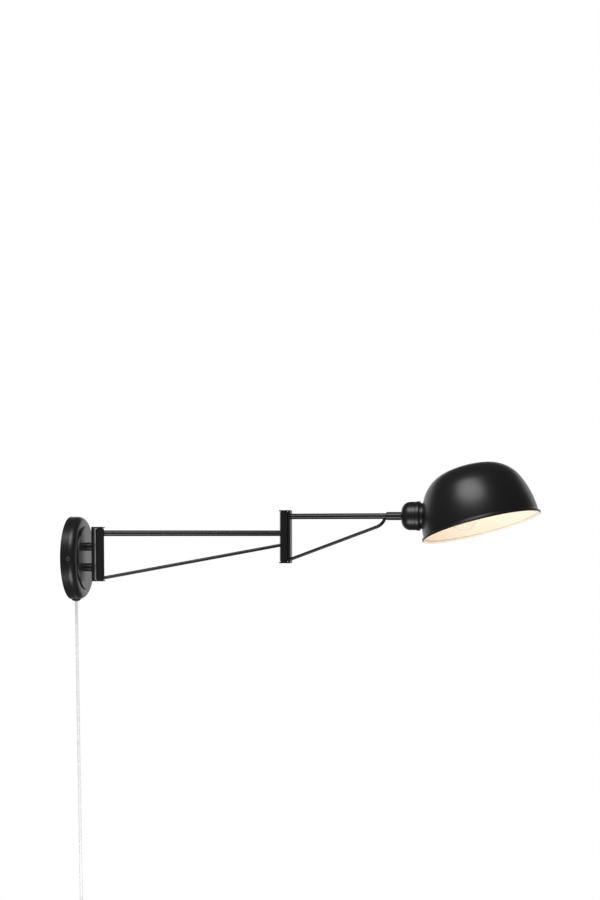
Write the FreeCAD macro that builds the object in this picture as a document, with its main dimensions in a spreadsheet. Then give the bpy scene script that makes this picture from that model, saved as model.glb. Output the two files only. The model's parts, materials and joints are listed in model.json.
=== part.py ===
import FreeCAD, Part
import math
import os
import re

import Sketcher
from FreeCAD import Placement, Rotation, Vector

# A plug-in wall sconce on two hinged, braced arms, in the pose of its photograph.
# Origin: the middle of the wall plate's back face, on the wall. +X points away from the wall,
# +Z is up and -Y is the side that the lamp is seen from. Lengths are in millimetres, angles in degrees.

SIZES = {
    # fits
    "seat_gap": 0.05,
    "running_gap": 0.05,
    "thrust_gap": 0.1,
    "swivel_gap": 0.3,
    # wall plate
    "plate_radius": 60,
    "plate_depth": 21,
    "plate_round": 10,
    "plate_wall": 1.5,
    "face_radius": 46,
    "face_step": 2,
    "face_edge_round": 0.6,
    "stiffener_radius": 40,
    "stiffener_thickness": 3,
    # wall strap and the plate's side screws
    "strap_thickness": 2,
    "strap_width": 20,
    "strap_reach": 56.2,
    "ear_length": 15,
    "wall_hole_spacing": 60,
    "wall_hole_radius": 2.5,
    "side_screw_height": 11,
    "side_screw_radius": 2,
    "side_screw_length": 7,
    "side_head_radius": 3.3,
    "side_head_height": 1.6,
    "side_head_round": 1.3,
    "side_socket_radius": 1.5,
    "side_socket_depth": 1,
    # posts between the plate and the wall fork
    "post_radius": 6,
    "post_length": 8.25,
    "post_spacing": 30,
    "post_mid_height": 1.5,
    "nipple_radius": 4,
    "nipple_bore": 2.75,
    "nipple_tail": 9,
    "post_nut_across": 13,
    "post_nut_thickness": 5,
    # hinges: fork, upright, pins and washers
    "hinge_height": 79,
    "hinge_mid_height": 5.8,
    "fork_width": 12,
    "fork_tab": 2,
    "fork_corner": 0.8,
    "wall_web": 3.5,
    "elbow_web": 3.3,
    "web_reach": 7.7,
    "tab_overhang": 6,
    "upright_side": 12,
    "upright_wall": 1,
    "upright_corner": 2.6,
    "pin_radius": 2.5,
    "pin_depth": 3.2,
    "lower_pin_depth": 11,
    "washer_radius": 5,
    "washer_thickness": 0.6,
    "upper_plug_length": 20,
    "lower_plug_length": 14,
    "plug_shaft_radius": 3,
    "grub_radius": 2,
    "grub_length": 2.6,
    "grub_recess": 0.2,
    "upper_grub_drop": 18,
    "lower_grub_rise": 11,
    # arms
    "arm_tube_radius": 4.25,
    "arm_tube_bore": 3.25,
    "arm_drop": 9.3,
    "elbow_rise": 25,
    "brace_radius": 2.4,
    "arm_1_length": 271.2,
    "arm_1_brace_low": 64.8,
    "arm_1_brace_high": 17.8,
    "arm_2_brace_drop": 63.4,
    "arm_2_brace_bend_back": 6.6,
    "arm_2_brace_bend_drop": 13,
    "arm_2_brace_round": 20,
    "lead_radius": 2.2,
    "lead_overhang": 3,
    # swivel and socket cup, measured from the elbow pivot along the second arm
    "sleeve_end": 177.1,
    "sleeve_length": 22.9,
    "sleeve_radius": 6,
    "sleeve_round": 1.5,
    "sleeve_grub_radius": 1.5,
    "sleeve_grub_back": 6,
    "nipple_past_sleeve": 7.7,
    "tube_short_of_sleeve": 8.3,
    "swivel_washer_radius": 7,
    "swivel_washer_thickness": 0.6,
    "swivel_nut_across": 12,
    "swivel_nut_thickness": 4,
    "cup_radius": 20.7,
    "cup_round": 12.9,
    "cup_wall": 1.2,
    "cup_length": 21.7,
    "cup_groove_back": 4.5,
    "cup_groove_width": 1.6,
    "cup_groove_depth": 0.45,
    "ring_radius": 21.4,
    "ring_length": 5.2,
    "ring_round": 0.8,
    "spacer_step": 1.6,
    "spacer_bevel": 1.1,
    "spacer_length": 2.8,
    "spacer_side_length": 2,
    # shade: a bead at the rim, a flare, and three arcs for the skirt, the shoulder and the crown
    "shade_tilt": 14.7,
    "shade_bead_radius": 1.8,
    "shade_lip_radius": 85.3,
    "shade_foot_height": 4.5,
    "shade_foot_radius": 83.6,
    "shade_foot_taper": 2,
    "shade_skirt_curve": 130,
    "shade_shoulder_taper": 25.9,
    "shade_shoulder_curve": 53.7,
    "shade_crown_curve": 150,
    "shade_wall": 1.1,
    "shade_hole_height": 36.4,
    # lamp holder
    "holder_radius": 13.5,
    "holder_length": 48,
    "holder_inset": 17.5,
    "holder_floor": 21,
    "holder_lip": 1.2,
    "holder_shell_radius": 8.2,
    "holder_shell_wall": 0.5,
    "holder_shell_length": 20,
    "holder_contact_radius": 2.5,
    "clamp_ring_radius": 19,
    "clamp_ring_length": 5,
    "clamp_ring_taper": 1,
    # bulb
    "bulb_radius": 22.5,
    "bulb_wall": 0.8,
    "bulb_length": 78,
    "bulb_neck_radius": 6.8,
    "bulb_cap_radius": 7,
    "bulb_cap_length": 24,
    "bulb_cap_edge": 1,
    "bulb_tip_radius": 3,
    "bulb_tip_length": 2.2,
    "stem_radius": 3.5,
    "stem_length": 14,
    "filament_radius": 0.7,
    "filament_length": 20,
    "filament_spread": 7,
    # resting pose of the photograph, each about its own axis
    "wall_swing": 15,
    "elbow_swing": 24,
    "head_swivel": 6.5,
    # cord and what is on it
    "cord_radius": 2.2,
    "cord_offset": 6.5,
    "grip_hole_radius": 5.3,
    "grip_flange_radius": 6.6,
    "grip_flange": 1,
    "grip_nose_radius": 3.6,
    "grip_nose": 2.8,
    "grip_nut_radius": 6,
    "grip_nut_thickness": 4,
    "grip_nut_gap": 0.4,
    "grip_thread_spare": 1,
    "terminal_width": 26,
    "terminal_depth": 10,
    "terminal_height": 14,
    "terminal_screw_radius": 1.8,
    "terminal_screw_recess": 1,
    "terminal_top": 22.5,
    "supply_lead_end": 3,
    "supply_lead_bend": 2.5,
    "switch_top": 510,
    "switch_length": 56,
    "switch_width": 27,
    "switch_thickness": 17,
    "switch_wall_gap": 0.8,
    "switch_corner": 6,
    "rocker_width": 10,
    "rocker_length": 17,
    "rocker_floor": 0.7,
    "rocker_gap": 0.3,
    "rocker_axle_radius": 1.2,
    "rocker_angle": 8,
    "coil_pitch": 4.95,
    "coil_outer": 35,
    "coil_turns": 7.1944,
    "coil_start_angle": 110,
    "tail_length": 24,
    "tail_bend": 18.2,
    "tie_width": 8,
    "tie_thickness": 1.2,
    "tie_gap": 0.6,
    "plug_lead_length": 38,
    "mains_plug_length": 36,
    "mains_plug_width": 35,
    "mains_plug_neck": 13,
    "mains_plug_shoulder": 19.8,
    "mains_plug_thickness": 13.4,
    "mains_plug_edge": 3,
    "mains_pin_radius": 2,
    "mains_pin_length": 19,
    "mains_pin_spacing": 18.6,
}

doc = FreeCAD.newDocument("WallSconce")
sheet = doc.addObject("Spreadsheet::Sheet", "Sizes")
for row, (alias, size) in enumerate(SIZES.items(), start=1):
    sheet.set(f"A{row}", alias)
    sheet.set(f"B{row}", str(size))
    sheet.setAlias(f"B{row}", alias)
doc.recompute()

nodes = []


def value(formula):
    """The number that a formula of the sheet's aliases gives."""
    return float(sheet.evalExpression(str(formula)))


def bound(formula):
    """The same formula as an expression on another object of the document."""
    word = lambda found: f"Sizes.{found[0]}" if found[0] in SIZES else found[0]
    return re.sub(r"[a-z_][a-z_0-9]*", word, str(formula))


# Heights and distances that several pieces share.
FACE = "(plate_depth + face_step)"
FORK_BACK = f"({FACE} + post_length)"
FORK_TOP = "(hinge_mid_height + hinge_height / 2)"
FORK_BOTTOM = "(hinge_mid_height - hinge_height / 2)"
WALL_PIVOT = f"({FORK_BACK} + wall_web + web_reach)"
UPRIGHT_TOP = f"({FORK_TOP} - fork_tab - washer_thickness - thrust_gap)"
UPRIGHT_BOTTOM = f"({FORK_BOTTOM} + fork_tab + washer_thickness + thrust_gap)"
ARM_1_HEIGHT = f"({FORK_TOP} - arm_drop)"
ARM_2_HEIGHT = f"({ARM_1_HEIGHT} + elbow_rise)"
UPPER_POST = "(post_mid_height + post_spacing / 2)"
LOWER_POST = "(post_mid_height - post_spacing / 2)"
SLEEVE_START = "(sleeve_end - sleeve_length)"
CUP_BACK = "(sleeve_end + swivel_gap)"
CUP_FRONT = f"({CUP_BACK} + cup_length)"
RING_FRONT = f"({CUP_FRONT} + ring_length)"
SHADE_FACE = f"({RING_FRONT} + spacer_length)"
HOLDER_BACK = f"({SHADE_FACE} - holder_inset)"
HOLDER_FRONT = f"({HOLDER_BACK} + holder_length)"
ARM_2_TUBE_END = "(sleeve_end - tube_short_of_sleeve)"
NIPPLE_END = "(sleeve_end + nipple_past_sleeve)"
BULB_TIP = f"({HOLDER_BACK} + holder_floor + bulb_tip_length + seat_gap)"

# Frames: each piece is drawn straight in its own frame, and its frame gives it the pose.
ROOT = Placement()
ARM_1 = Placement(Vector(value(WALL_PIVOT), 0, 0), Rotation(Vector(0, 0, 1), value("wall_swing")))
ELBOW = Placement(Vector(value("arm_1_length"), 0, 0), Rotation(Vector(0, 0, 1), -value("elbow_swing")))
ARM_2 = ARM_1 * ELBOW
HEAD_TURN = Placement(Vector(0, 0, value(ARM_2_HEIGHT)), Rotation(Vector(1, 0, 0), -value("head_swivel")))
HEAD = ARM_2 * HEAD_TURN


def spoke(angle):
    """The unit vector at an angle above the horizontal, in the plane of the shade's section."""
    return Vector(math.cos(angle), 0, math.sin(angle))


def shade_arcs():
    """The shade's section above its flare, as (centre, radius, first angle, last angle) of the skirt's,
    the shoulder's and the crown's arc. Each is tangent to the next."""
    foot = Vector(value("shade_foot_radius"), 0, value("shade_foot_height"))
    low, high = (math.radians(value(f"shade_{end}_taper")) for end in ("foot", "shoulder"))
    skirt, shoulder, crown = (value(f"shade_{part}_curve") for part in ("skirt", "shoulder", "crown"))
    skirt_centre = foot - spoke(low) * skirt
    shoulder_centre = skirt_centre + spoke(high) * (skirt - shoulder)
    drop = math.sqrt((crown - shoulder) ** 2 - shoulder_centre.x**2)
    crown_centre = Vector(0, 0, shoulder_centre.z - drop)
    join = math.atan2(drop, shoulder_centre.x)
    return [
        (skirt_centre, skirt, low, high),
        (shoulder_centre, shoulder, high, join),
        (crown_centre, crown, join, math.pi / 2),
    ]


def shade_placement():
    """The shade's frame in the head's: the middle of the holder's hole in its skirt lies on the arm."""
    centre, radius, low, high = shade_arcs()[0]
    rise = value("shade_hole_height") - centre.z
    across = centre.x + math.sqrt(radius**2 - rise**2)
    tilt = Rotation(Vector(0, 1, 0), -value("shade_tilt"))
    hole = tilt.multVec(Vector(-across, 0, value("shade_hole_height")))
    return Placement(Vector(value(SHADE_FACE), 0, 0) - hole, tilt)


SHADE = HEAD * shade_placement()


# ---------------------------------------------------------------- helpers


def keep(node, label, frame=ROOT):
    """Makes a finished object a sub-part of the lamp: its file's name and its frame."""
    node.Label = label
    node.Placement = frame * node.Placement
    nodes.append(node)
    return node


def tie(target, **formulas):
    """Binds an object's properties to formulas of the sheet."""
    for name, formula in formulas.items():
        target.setExpression(name, bound(formula))
    return target


def new_body(label, frame=ROOT):
    body = doc.addObject("PartDesign::Body", label)
    body.Label = label
    body.Placement = frame
    nodes.append(body)
    return body


def origin_feature(body, role):
    return next(item for item in body.Origin.OriginFeatures if item.Role == role)


def new_sketch(body, plane, offset=None):
    """A sketch on one of the body's own origin planes, moved off it along its normal."""
    sketch = body.newObject("Sketcher::SketchObject", f"{body.Name}_sketch")
    sketch.AttachmentSupport = [(origin_feature(body, plane), "")]
    sketch.MapMode = "FlatFace"
    if offset is not None:
        sketch.setExpression("AttachmentOffset.Base.z", bound(offset))
    return sketch


def dimension(sketch, kind, arguments, formula):
    number = sketch.addConstraint(Sketcher.Constraint(kind, *arguments, value(formula)))
    sketch.setExpression(f"Constraints[{number}]", bound(formula))


def place_point(sketch, geometry, end, across, up):
    """Fixes one end of a line or arc, or a centre, at a place given by two formulas."""
    for kind, formula in (("DistanceX", across), ("DistanceY", up)):
        if abs(value(formula)) > 1e-9:
            dimension(sketch, kind, (-1, 1, geometry, end), formula)
        else:
            link = "PointOnObject"
            axis = -2 if kind == "DistanceX" else -1
            sketch.addConstraint(Sketcher.Constraint(link, geometry, end, axis))


def arc_through(start, end, radius, bulge):
    """The arc of this radius from start to end that bulges to the left (1) or right (-1)."""
    chord = end - start
    half = chord.Length / 2
    side = Vector(-chord.y, chord.x, 0).normalize() * bulge
    sag = radius - math.sqrt(max(radius**2 - half**2, 0))
    return Part.Arc(start, start + chord / 2 + side * sag, end)


def outline(sketch, corners):
    """A closed outline of lines and arcs. A corner is (across, up) or, where an arc leads on to the
    next corner, (across, up, radius, bulge)."""
    points = [Vector(value(corner[0]), value(corner[1]), 0) for corner in corners]
    count = len(corners)
    first = sketch.GeometryCount
    for index, corner in enumerate(corners):
        start, end = points[index], points[(index + 1) % count]
        if len(corner) == 2:
            sketch.addGeometry(Part.LineSegment(start, end), False)
        else:
            sketch.addGeometry(arc_through(start, end, value(corner[2]), corner[3]), False)
    for index, corner in enumerate(corners):
        geometry, after = first + index, first + (index + 1) % count
        here, there = edge_ends(corners[index]), edge_ends(corners[(index + 1) % count])
        sketch.addConstraint(Sketcher.Constraint("Coincident", geometry, here[1], after, there[0]))
        place_point(sketch, geometry, here[0], corner[0], corner[1])
        if len(corner) > 2:
            dimension(sketch, "Radius", (geometry,), corner[2])
    return sketch


def edge_ends(corner):
    """Which ends of an edge are its start and end: an arc is kept anticlockwise, so one that bulges
    to the left of its run is stored the other way round."""
    return (2, 1) if len(corner) > 2 and corner[3] > 0 else (1, 2)


def circle(sketch, across, up, radius):
    place = Vector(value(across), value(up), 0)
    index = sketch.addGeometry(Part.Circle(place, Vector(0, 0, 1), value(radius)), False)
    place_point(sketch, index, 3, across, up)
    dimension(sketch, "Radius", (index,), radius)


def rectangle(sketch, left, right, bottom, top):
    return outline(sketch, [(left, bottom), (right, bottom), (right, top), (left, top)])


def revolve(body, sketch, axis="X_Axis"):
    turned = body.newObject("PartDesign::Revolution", f"{body.Name}_turned")
    turned.Profile = sketch
    turned.ReferenceAxis = (origin_feature(body, axis), [""])
    turned.Angle = 360
    doc.recompute()
    return turned


def pad(body, sketch, length, midplane=False):
    raised = body.newObject("PartDesign::Pad", f"{body.Name}_pad")
    raised.Profile = sketch
    raised.Midplane = midplane
    raised.setExpression("Length", bound(length))
    doc.recompute()
    return raised


def pocket(body, sketch, length=None, midplane=False, backwards=False):
    """Cuts a sketch out of the body, through all of it where no length is given, and makes sure that
    the cut takes something away."""
    before = body.Shape.Volume
    hole = body.newObject("PartDesign::Pocket", f"{body.Name}_pocket")
    hole.Profile = sketch
    hole.Midplane = midplane
    hole.Reversed = backwards
    if length is None:
        hole.Type = "ThroughAll"
    else:
        hole.setExpression("Length", bound(length))
    doc.recompute()
    if body.Shape.Volume >= before - 1e-6:
        raise RuntimeError(f"{body.Label}: a cut takes nothing away")
    return hole


def round_edges(body, edges, radius):
    """Fillets the edges of the body's tip that a test picks out."""
    tip = body.Tip
    names = [f"Edge{i}" for i, edge in enumerate(tip.Shape.Edges, start=1) if edges(edge)]
    fillet = body.newObject("PartDesign::Fillet", f"{body.Name}_round")
    fillet.Base = (tip, names)
    fillet.setExpression("Radius", bound(radius))
    doc.recompute()
    return fillet


def rod(name, radius, length, start, direction=(1, 0, 0)):
    """A cylinder from a start point, given by formulas, along a direction."""
    cylinder = doc.addObject("Part::Cylinder", name)
    tie(cylinder, Radius=radius, Height=length)
    place = Vector(*[value(part) for part in start])
    cylinder.Placement = Placement(place, Rotation(Vector(0, 0, 1), Vector(*direction)))
    return cylinder


def hexagon(name, across, thickness, start):
    """A nut's hexagon, its axis along X."""
    prism = doc.addObject("Part::Prism", name)
    prism.Polygon = 6
    tie(prism, Circumradius=f"{across} / 2 / cos(30)", Height=thickness)
    place = Vector(*[value(part) for part in start])
    prism.Placement = Placement(place, Rotation(Vector(0, 0, 1), Vector(1, 0, 0)))
    return prism


def box(name, low, size):
    block = doc.addObject("Part::Box", name)
    tie(block, Length=size[0], Width=size[1], Height=size[2])
    block.Placement.Base = Vector(*[value(part) for part in low])
    return block


def cut(base, tool):
    part = doc.addObject("Part::Cut", f"{base.Name}_cut")
    part.Base = base
    part.Tool = tool
    return part


def common(base, tool):
    part = doc.addObject("Part::Common", f"{base.Name}_common")
    part.Base = base
    part.Tool = tool
    return part


def group(name, members):
    """Identical pieces that share one node."""
    part = doc.addObject("Part::Compound", name)
    part.Links = members
    return part


def solid_from(name, shape):
    feature = doc.addObject("Part::Feature", name)
    feature.Shape = shape
    return feature


def tube(name, outer, inner, length, start, direction=(1, 0, 0)):
    skin = rod(f"{name}_outer", outer, length, start, direction)
    hollow = rod(f"{name}_bore", inner, length, start, direction)
    return cut(skin, hollow)


# ---------------------------------------------------------------- wall plate


def build_wall_plate():
    """The pressed plate: a flat side, a quarter-round rim and a raised disc, all of one thickness."""
    body = new_body("wall_plate")
    straight = "(plate_depth - plate_round)"
    rim_top = "(plate_radius - plate_round)"
    inside_round = "(plate_round - plate_wall)"
    inside_disc = "(face_radius - plate_wall)"
    profile = [
        ("0", "plate_radius"),
        (straight, "plate_radius", "plate_round", 1),
        ("plate_depth", rim_top),
        ("plate_depth", "face_radius"),
        (f"{FACE} - face_edge_round", "face_radius", "face_edge_round", 1),
        (FACE, "face_radius - face_edge_round"),
        (FACE, "0"),
        (f"{FACE} - plate_wall", "0"),
        (f"{FACE} - plate_wall", inside_disc),
        ("plate_depth - plate_wall", inside_disc),
        ("plate_depth - plate_wall", rim_top, inside_round, -1),
        (straight, "plate_radius - plate_wall"),
        ("0", "plate_radius - plate_wall"),
    ]
    revolve(body, outline(new_sketch(body, "XZ_Plane"), profile))
    holes = new_sketch(body, "YZ_Plane", FACE)
    circle(holes, "0", UPPER_POST, "nipple_radius + seat_gap")
    circle(holes, "0", LOWER_POST, "nipple_radius + seat_gap")
    pocket(body, holes, "plate_wall * 2")
    side = new_sketch(body, "XZ_Plane")
    circle(side, "side_screw_height", "0", "side_screw_radius + seat_gap")
    pocket(body, side, midplane=True)
    bottom = new_sketch(body, "XY_Plane")
    circle(bottom, "cord_offset", "0", "grip_hole_radius + seat_gap")
    pocket(body, bottom, "plate_radius")


def build_strap():
    """The strap on the wall, with an ear at each end for a side screw."""
    body = new_body("wall_strap")
    flat = new_sketch(body, "XY_Plane", "-strap_width / 2")
    inner = "(strap_reach - strap_thickness)"
    corners = [
        ("0", "-strap_reach"),
        ("ear_length", "-strap_reach"),
        ("ear_length", f"-{inner}"),
        ("strap_thickness", f"-{inner}"),
        ("strap_thickness", inner),
        ("ear_length", inner),
        ("ear_length", "strap_reach"),
        ("0", "strap_reach"),
    ]
    pad(body, outline(flat, corners), "strap_width")
    holes = new_sketch(body, "YZ_Plane")
    circle(holes, "wall_hole_spacing / 2", "0", "wall_hole_radius")
    circle(holes, "-wall_hole_spacing / 2", "0", "wall_hole_radius")
    pocket(body, holes, "strap_thickness", backwards=True)
    threads = new_sketch(body, "XZ_Plane")
    circle(threads, "side_screw_height", "0", "side_screw_radius + seat_gap")
    pocket(body, threads, midplane=True)


def side_screw(name, side):
    """A button-head screw through the plate's side into the strap's ear."""
    shank_start = ("side_screw_height", f"{side} * plate_radius", "0")
    shank = rod(f"{name}_shank", "side_screw_radius", "side_screw_length", shank_start, (0, -side, 0))
    head = rod(f"{name}_head", "side_head_radius", "side_head_height", shank_start, (0, side, 0))
    crown = doc.addObject("Part::Fillet", f"{name}_crown")
    crown.Base = head
    doc.recompute()
    outer = [i for i, edge in enumerate(head.Shape.Edges, start=1) if is_outer_rim(edge, side)]
    radius = value("side_head_round")
    crown.Edges = [(number, radius, radius) for number in outer]
    screw = doc.addObject("Part::Fuse", f"{name}_screw")
    screw.Base = shank
    screw.Tool = crown
    top = f"{side} * (plate_radius + side_head_height)"
    socket = rod(
        f"{name}_socket",
        "side_socket_radius",
        "side_socket_depth",
        ("side_screw_height", top, "0"),
        (0, -side, 0),
    )
    return cut(screw, socket)


def is_outer_rim(edge, side):
    """Whether this is the round edge of a side screw's head that faces away from the plate."""
    return len(edge.Vertexes) == 1 and edge.Vertexes[0].Y * side > value("plate_radius + seat_gap")


def build_plate_inside():
    """The stiffener behind the plate's face, the two posts in front of it, and the threaded nipples and
    nuts that pull them all together."""
    seat = "nipple_radius + seat_gap"
    nut_back = f"{STIFFENER_BACK} - post_nut_thickness"
    nipple_length = f"{FORK_BACK} + wall_web - nipple_tail"
    blank = rod("stiffener_blank", "stiffener_radius", "stiffener_thickness", (STIFFENER_BACK, "0", "0"))
    nipples, nuts = [], []
    for label, height in (("upper_post", UPPER_POST), ("lower_post", LOWER_POST)):
        blank = cut(blank, rod("stiffener_hole", seat, "stiffener_thickness", (STIFFENER_BACK, "0", height)))
        keep(tube(label, "post_radius", seat, "post_length", (FACE, "0", height)), label)
        nipple_start = ("nipple_tail", "0", height)
        nipples.append(tube("nipple", "nipple_radius", "nipple_bore", nipple_length, nipple_start))
        nut = hexagon("post_nut", "post_nut_across", "post_nut_thickness", (nut_back, "0", height))
        nuts.append(cut(nut, rod("post_nut_bore", seat, "post_nut_thickness", (nut_back, "0", height))))
    keep(blank, "plate_stiffener")
    keep(group("nipples", nipples), "post_nipples")
    keep(group("nuts", nuts), "post_nuts")
    keep(group("side_screws", [side_screw("near", -1), side_screw("far", 1)]), "plate_side_screws")


STIFFENER_BACK = f"({FACE} - plate_wall - stiffener_thickness)"


def build_terminal():
    """The terminal block on the stiffener's back, with a screw for each core."""
    back, middle = f"{STIFFENER_BACK} - terminal_depth", "-terminal_top - terminal_height / 2"
    low = (back, "-terminal_width / 2", "-terminal_top - terminal_height")
    block = box("terminal_block_blank", low, ("terminal_depth", "terminal_width", "terminal_height"))
    screws = []
    for side in (-1, 1):
        across = f"{side} * terminal_width / 4"
        well_radius = "terminal_screw_radius + 2 * seat_gap"
        block = cut(block, rod("terminal_well", well_radius, "terminal_depth / 2", (back, across, middle)))
        start = (f"{back} + terminal_screw_recess", across, middle)
        length = "terminal_depth / 2 - terminal_screw_recess"
        screws.append(rod("terminal_screw", "terminal_screw_radius", length, start))
    keep(block, "terminal_block")
    keep(group("terminal_screws_group", screws), "terminal_screws")


# ---------------------------------------------------------------- hinges


def build_fork(label, frame, back, web, rise, overhang_side):
    """A fork bent from strip: a web between an upper and a lower tab. `back` is the web's outer face,
    `overhang_side` is 1 where the tabs reach along +X from the web and -1 where they reach along -X."""
    body = new_body(label, frame)
    front = f"({back} + {overhang_side} * {web})"
    tip = f"({back} + {overhang_side} * ({web} + web_reach + tab_overhang))"
    top, bottom = f"({FORK_TOP} + {rise})", f"({FORK_BOTTOM} + {rise})"
    corners = [
        (back, bottom),
        (tip, bottom),
        (tip, f"{bottom} + fork_tab"),
        (front, f"{bottom} + fork_tab"),
        (front, f"{top} - fork_tab"),
        (tip, f"{top} - fork_tab"),
        (tip, top),
        (back, top),
    ]
    pad(body, outline(new_sketch(body, "XZ_Plane"), corners), "fork_width", midplane=True)
    back_at = value(back)
    outer_bends = lambda edge: is_along_y(edge) and abs(edge.Vertexes[0].X - back_at) < 1e-3
    round_edges(body, outer_bends, "fork_corner")
    pivot = f"({back} + {overhang_side} * ({web} + web_reach))"
    pins = new_sketch(body, "XY_Plane", bottom)
    circle(pins, pivot, "0", "pin_radius + seat_gap")
    pocket(body, pins, "hinge_height", backwards=True)
    return body


def is_along_y(edge):
    ends = edge.Vertexes
    return len(ends) == 2 and abs(ends[0].X - ends[1].X) < 1e-3 and abs(ends[0].Z - ends[1].Z) < 1e-3


def build_pins(label, frame, across, rise):
    """The two pivot pins of a hinge, riveted flush in the fork's tabs."""
    upper = rod(
        "upper_pin",
        "pin_radius",
        "fork_tab + washer_thickness + thrust_gap + pin_depth",
        (across, "0", f"{FORK_TOP} + {rise}"),
        (0, 0, -1),
    )
    lower = rod(
        "lower_pin",
        "pin_radius",
        "fork_tab + washer_thickness + thrust_gap + lower_pin_depth",
        (across, "0", f"{FORK_BOTTOM} + {rise}"),
        (0, 0, 1),
    )
    keep(group(f"{label}_group", [upper, lower]), label, frame)


def build_washers(label, across, rise):
    """The thrust washers on an upright's two ends."""
    bore = "pin_radius + running_gap"
    washers = []
    for level, up in ((UPRIGHT_TOP, 1), (UPRIGHT_BOTTOM, -1)):
        start = (across, "0", f"{level} + {rise}")
        washers.append(tube("thrust_washer", "washer_radius", bore, "washer_thickness", start, (0, 0, up)))
    keep(group(f"{label}_group", washers), label, ARM_1)


def square_ring(sketch, across, half, corner):
    """A square with rounded corners about a point of the X axis."""
    near, far = f"({across} - {half})", f"({across} + {half})"
    low_x, high_x = f"({across} - {half} + {corner})", f"({across} + {half} - {corner})"
    low_y, high_y = f"({corner} - {half})", f"({half} - {corner})"
    outline(
        sketch,
        [
            (low_x, f"-{half}"),
            (high_x, f"-{half}", corner, -1),
            (far, low_y),
            (far, high_y, corner, -1),
            (high_x, half),
            (low_x, half, corner, -1),
            (near, high_y),
            (near, low_y, corner, -1),
        ],
    )


def build_upright(label, across, rise, holes):
    """A square tube that turns between a fork's tabs. `holes` lists the sides (-1 or 1 along X) and the
    heights where a lead passes through its wall."""
    body = new_body(label, ARM_1)
    section = new_sketch(body, "XY_Plane", f"{UPRIGHT_BOTTOM} + {rise}")
    square_ring(section, across, "(upright_side / 2)", "upright_corner")
    square_ring(section, across, "(upright_side / 2 - upright_wall)", "(upright_corner - upright_wall)")
    pad(body, section, f"{UPRIGHT_TOP} - {UPRIGHT_BOTTOM}")
    for side, height in holes:
        window = new_sketch(body, "YZ_Plane", across)
        circle(window, "0", height, "arm_tube_bore")
        pocket(body, window, "upright_side", backwards=side > 0)
    screws = new_sketch(body, "XZ_Plane")
    circle(screws, across, f"{FORK_TOP} + {rise} - upper_grub_drop", "grub_radius + seat_gap")
    circle(screws, across, f"{FORK_BOTTOM} + {rise} + lower_grub_rise", "grub_radius + seat_gap")
    pocket(body, screws, "upright_side", backwards=True)


def plug_section(sketch, across):
    half = "(upright_side / 2 - upright_wall - seat_gap)"
    square_ring(sketch, across, half, "(upright_corner - upright_wall)")


def build_plugs(label, across, rise, lead_height):
    """The blocks in an upright's ends, which hold the pins. The upper one is cross-drilled for the lead
    and drilled from below up to that hole."""
    upper = new_body(f"{label}_upper", ARM_1)
    top = f"({UPRIGHT_TOP} + {rise})"
    section = new_sketch(upper, "XY_Plane", f"{top} - upper_plug_length")
    plug_section(section, across)
    pad(upper, section, "upper_plug_length")
    lead = new_sketch(upper, "YZ_Plane", across)
    circle(lead, "0", lead_height, "arm_tube_bore")
    pocket(upper, lead, midplane=True)
    shaft = new_sketch(upper, "XY_Plane", f"{top} - upper_plug_length")
    circle(shaft, across, "0", "plug_shaft_radius")
    pocket(upper, shaft, "upper_plug_length - arm_drop + fork_tab", backwards=True)
    pin = new_sketch(upper, "XY_Plane", top)
    circle(pin, across, "0", "pin_radius + running_gap")
    pocket(upper, pin, "arm_drop - fork_tab")
    drill_for_grub(upper, across, f"{FORK_TOP} + {rise} - upper_grub_drop")

    lower = new_body(f"{label}_lower", ARM_1)
    bottom = f"({UPRIGHT_BOTTOM} + {rise})"
    section = new_sketch(lower, "XY_Plane", bottom)
    plug_section(section, across)
    pad(lower, section, "lower_plug_length")
    pin = new_sketch(lower, "XY_Plane", bottom)
    circle(pin, across, "0", "pin_radius + running_gap")
    pocket(lower, pin, "lower_pin_depth + 2 * thrust_gap", backwards=True)
    drill_for_grub(lower, across, f"{FORK_BOTTOM} + {rise} + lower_grub_rise")


def drill_for_grub(body, across, height):
    """A blind hole for the grub screw, from the near side."""
    near = "(upright_side / 2 - upright_wall)"
    sketch = new_sketch(body, "XZ_Plane", near)
    circle(sketch, across, height, "grub_radius + seat_gap")
    pocket(body, sketch, "grub_length + grub_recess - upright_wall")


def build_grub_screws():
    """The four grub screws that hold the plugs, their sockets towards the near side."""
    screws = []
    for across, rise in (("0", "0"), ("arm_1_length", "elbow_rise")):
        upper, lower = f"{FORK_TOP} + {rise} - upper_grub_drop", f"{FORK_BOTTOM} + {rise} + lower_grub_rise"
        for height in (upper, lower):
            start = (across, "grub_recess - upright_side / 2", height)
            screw = rod("grub", "grub_radius", "grub_length", start, (0, 1, 0))
            socket = rod("grub_socket", "grub_radius / 2", "grub_length / 2", start, (0, 1, 0))
            screws.append(cut(screw, socket))
    keep(group("grub_group", screws), "upright_grub_screws", ARM_1)


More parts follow.
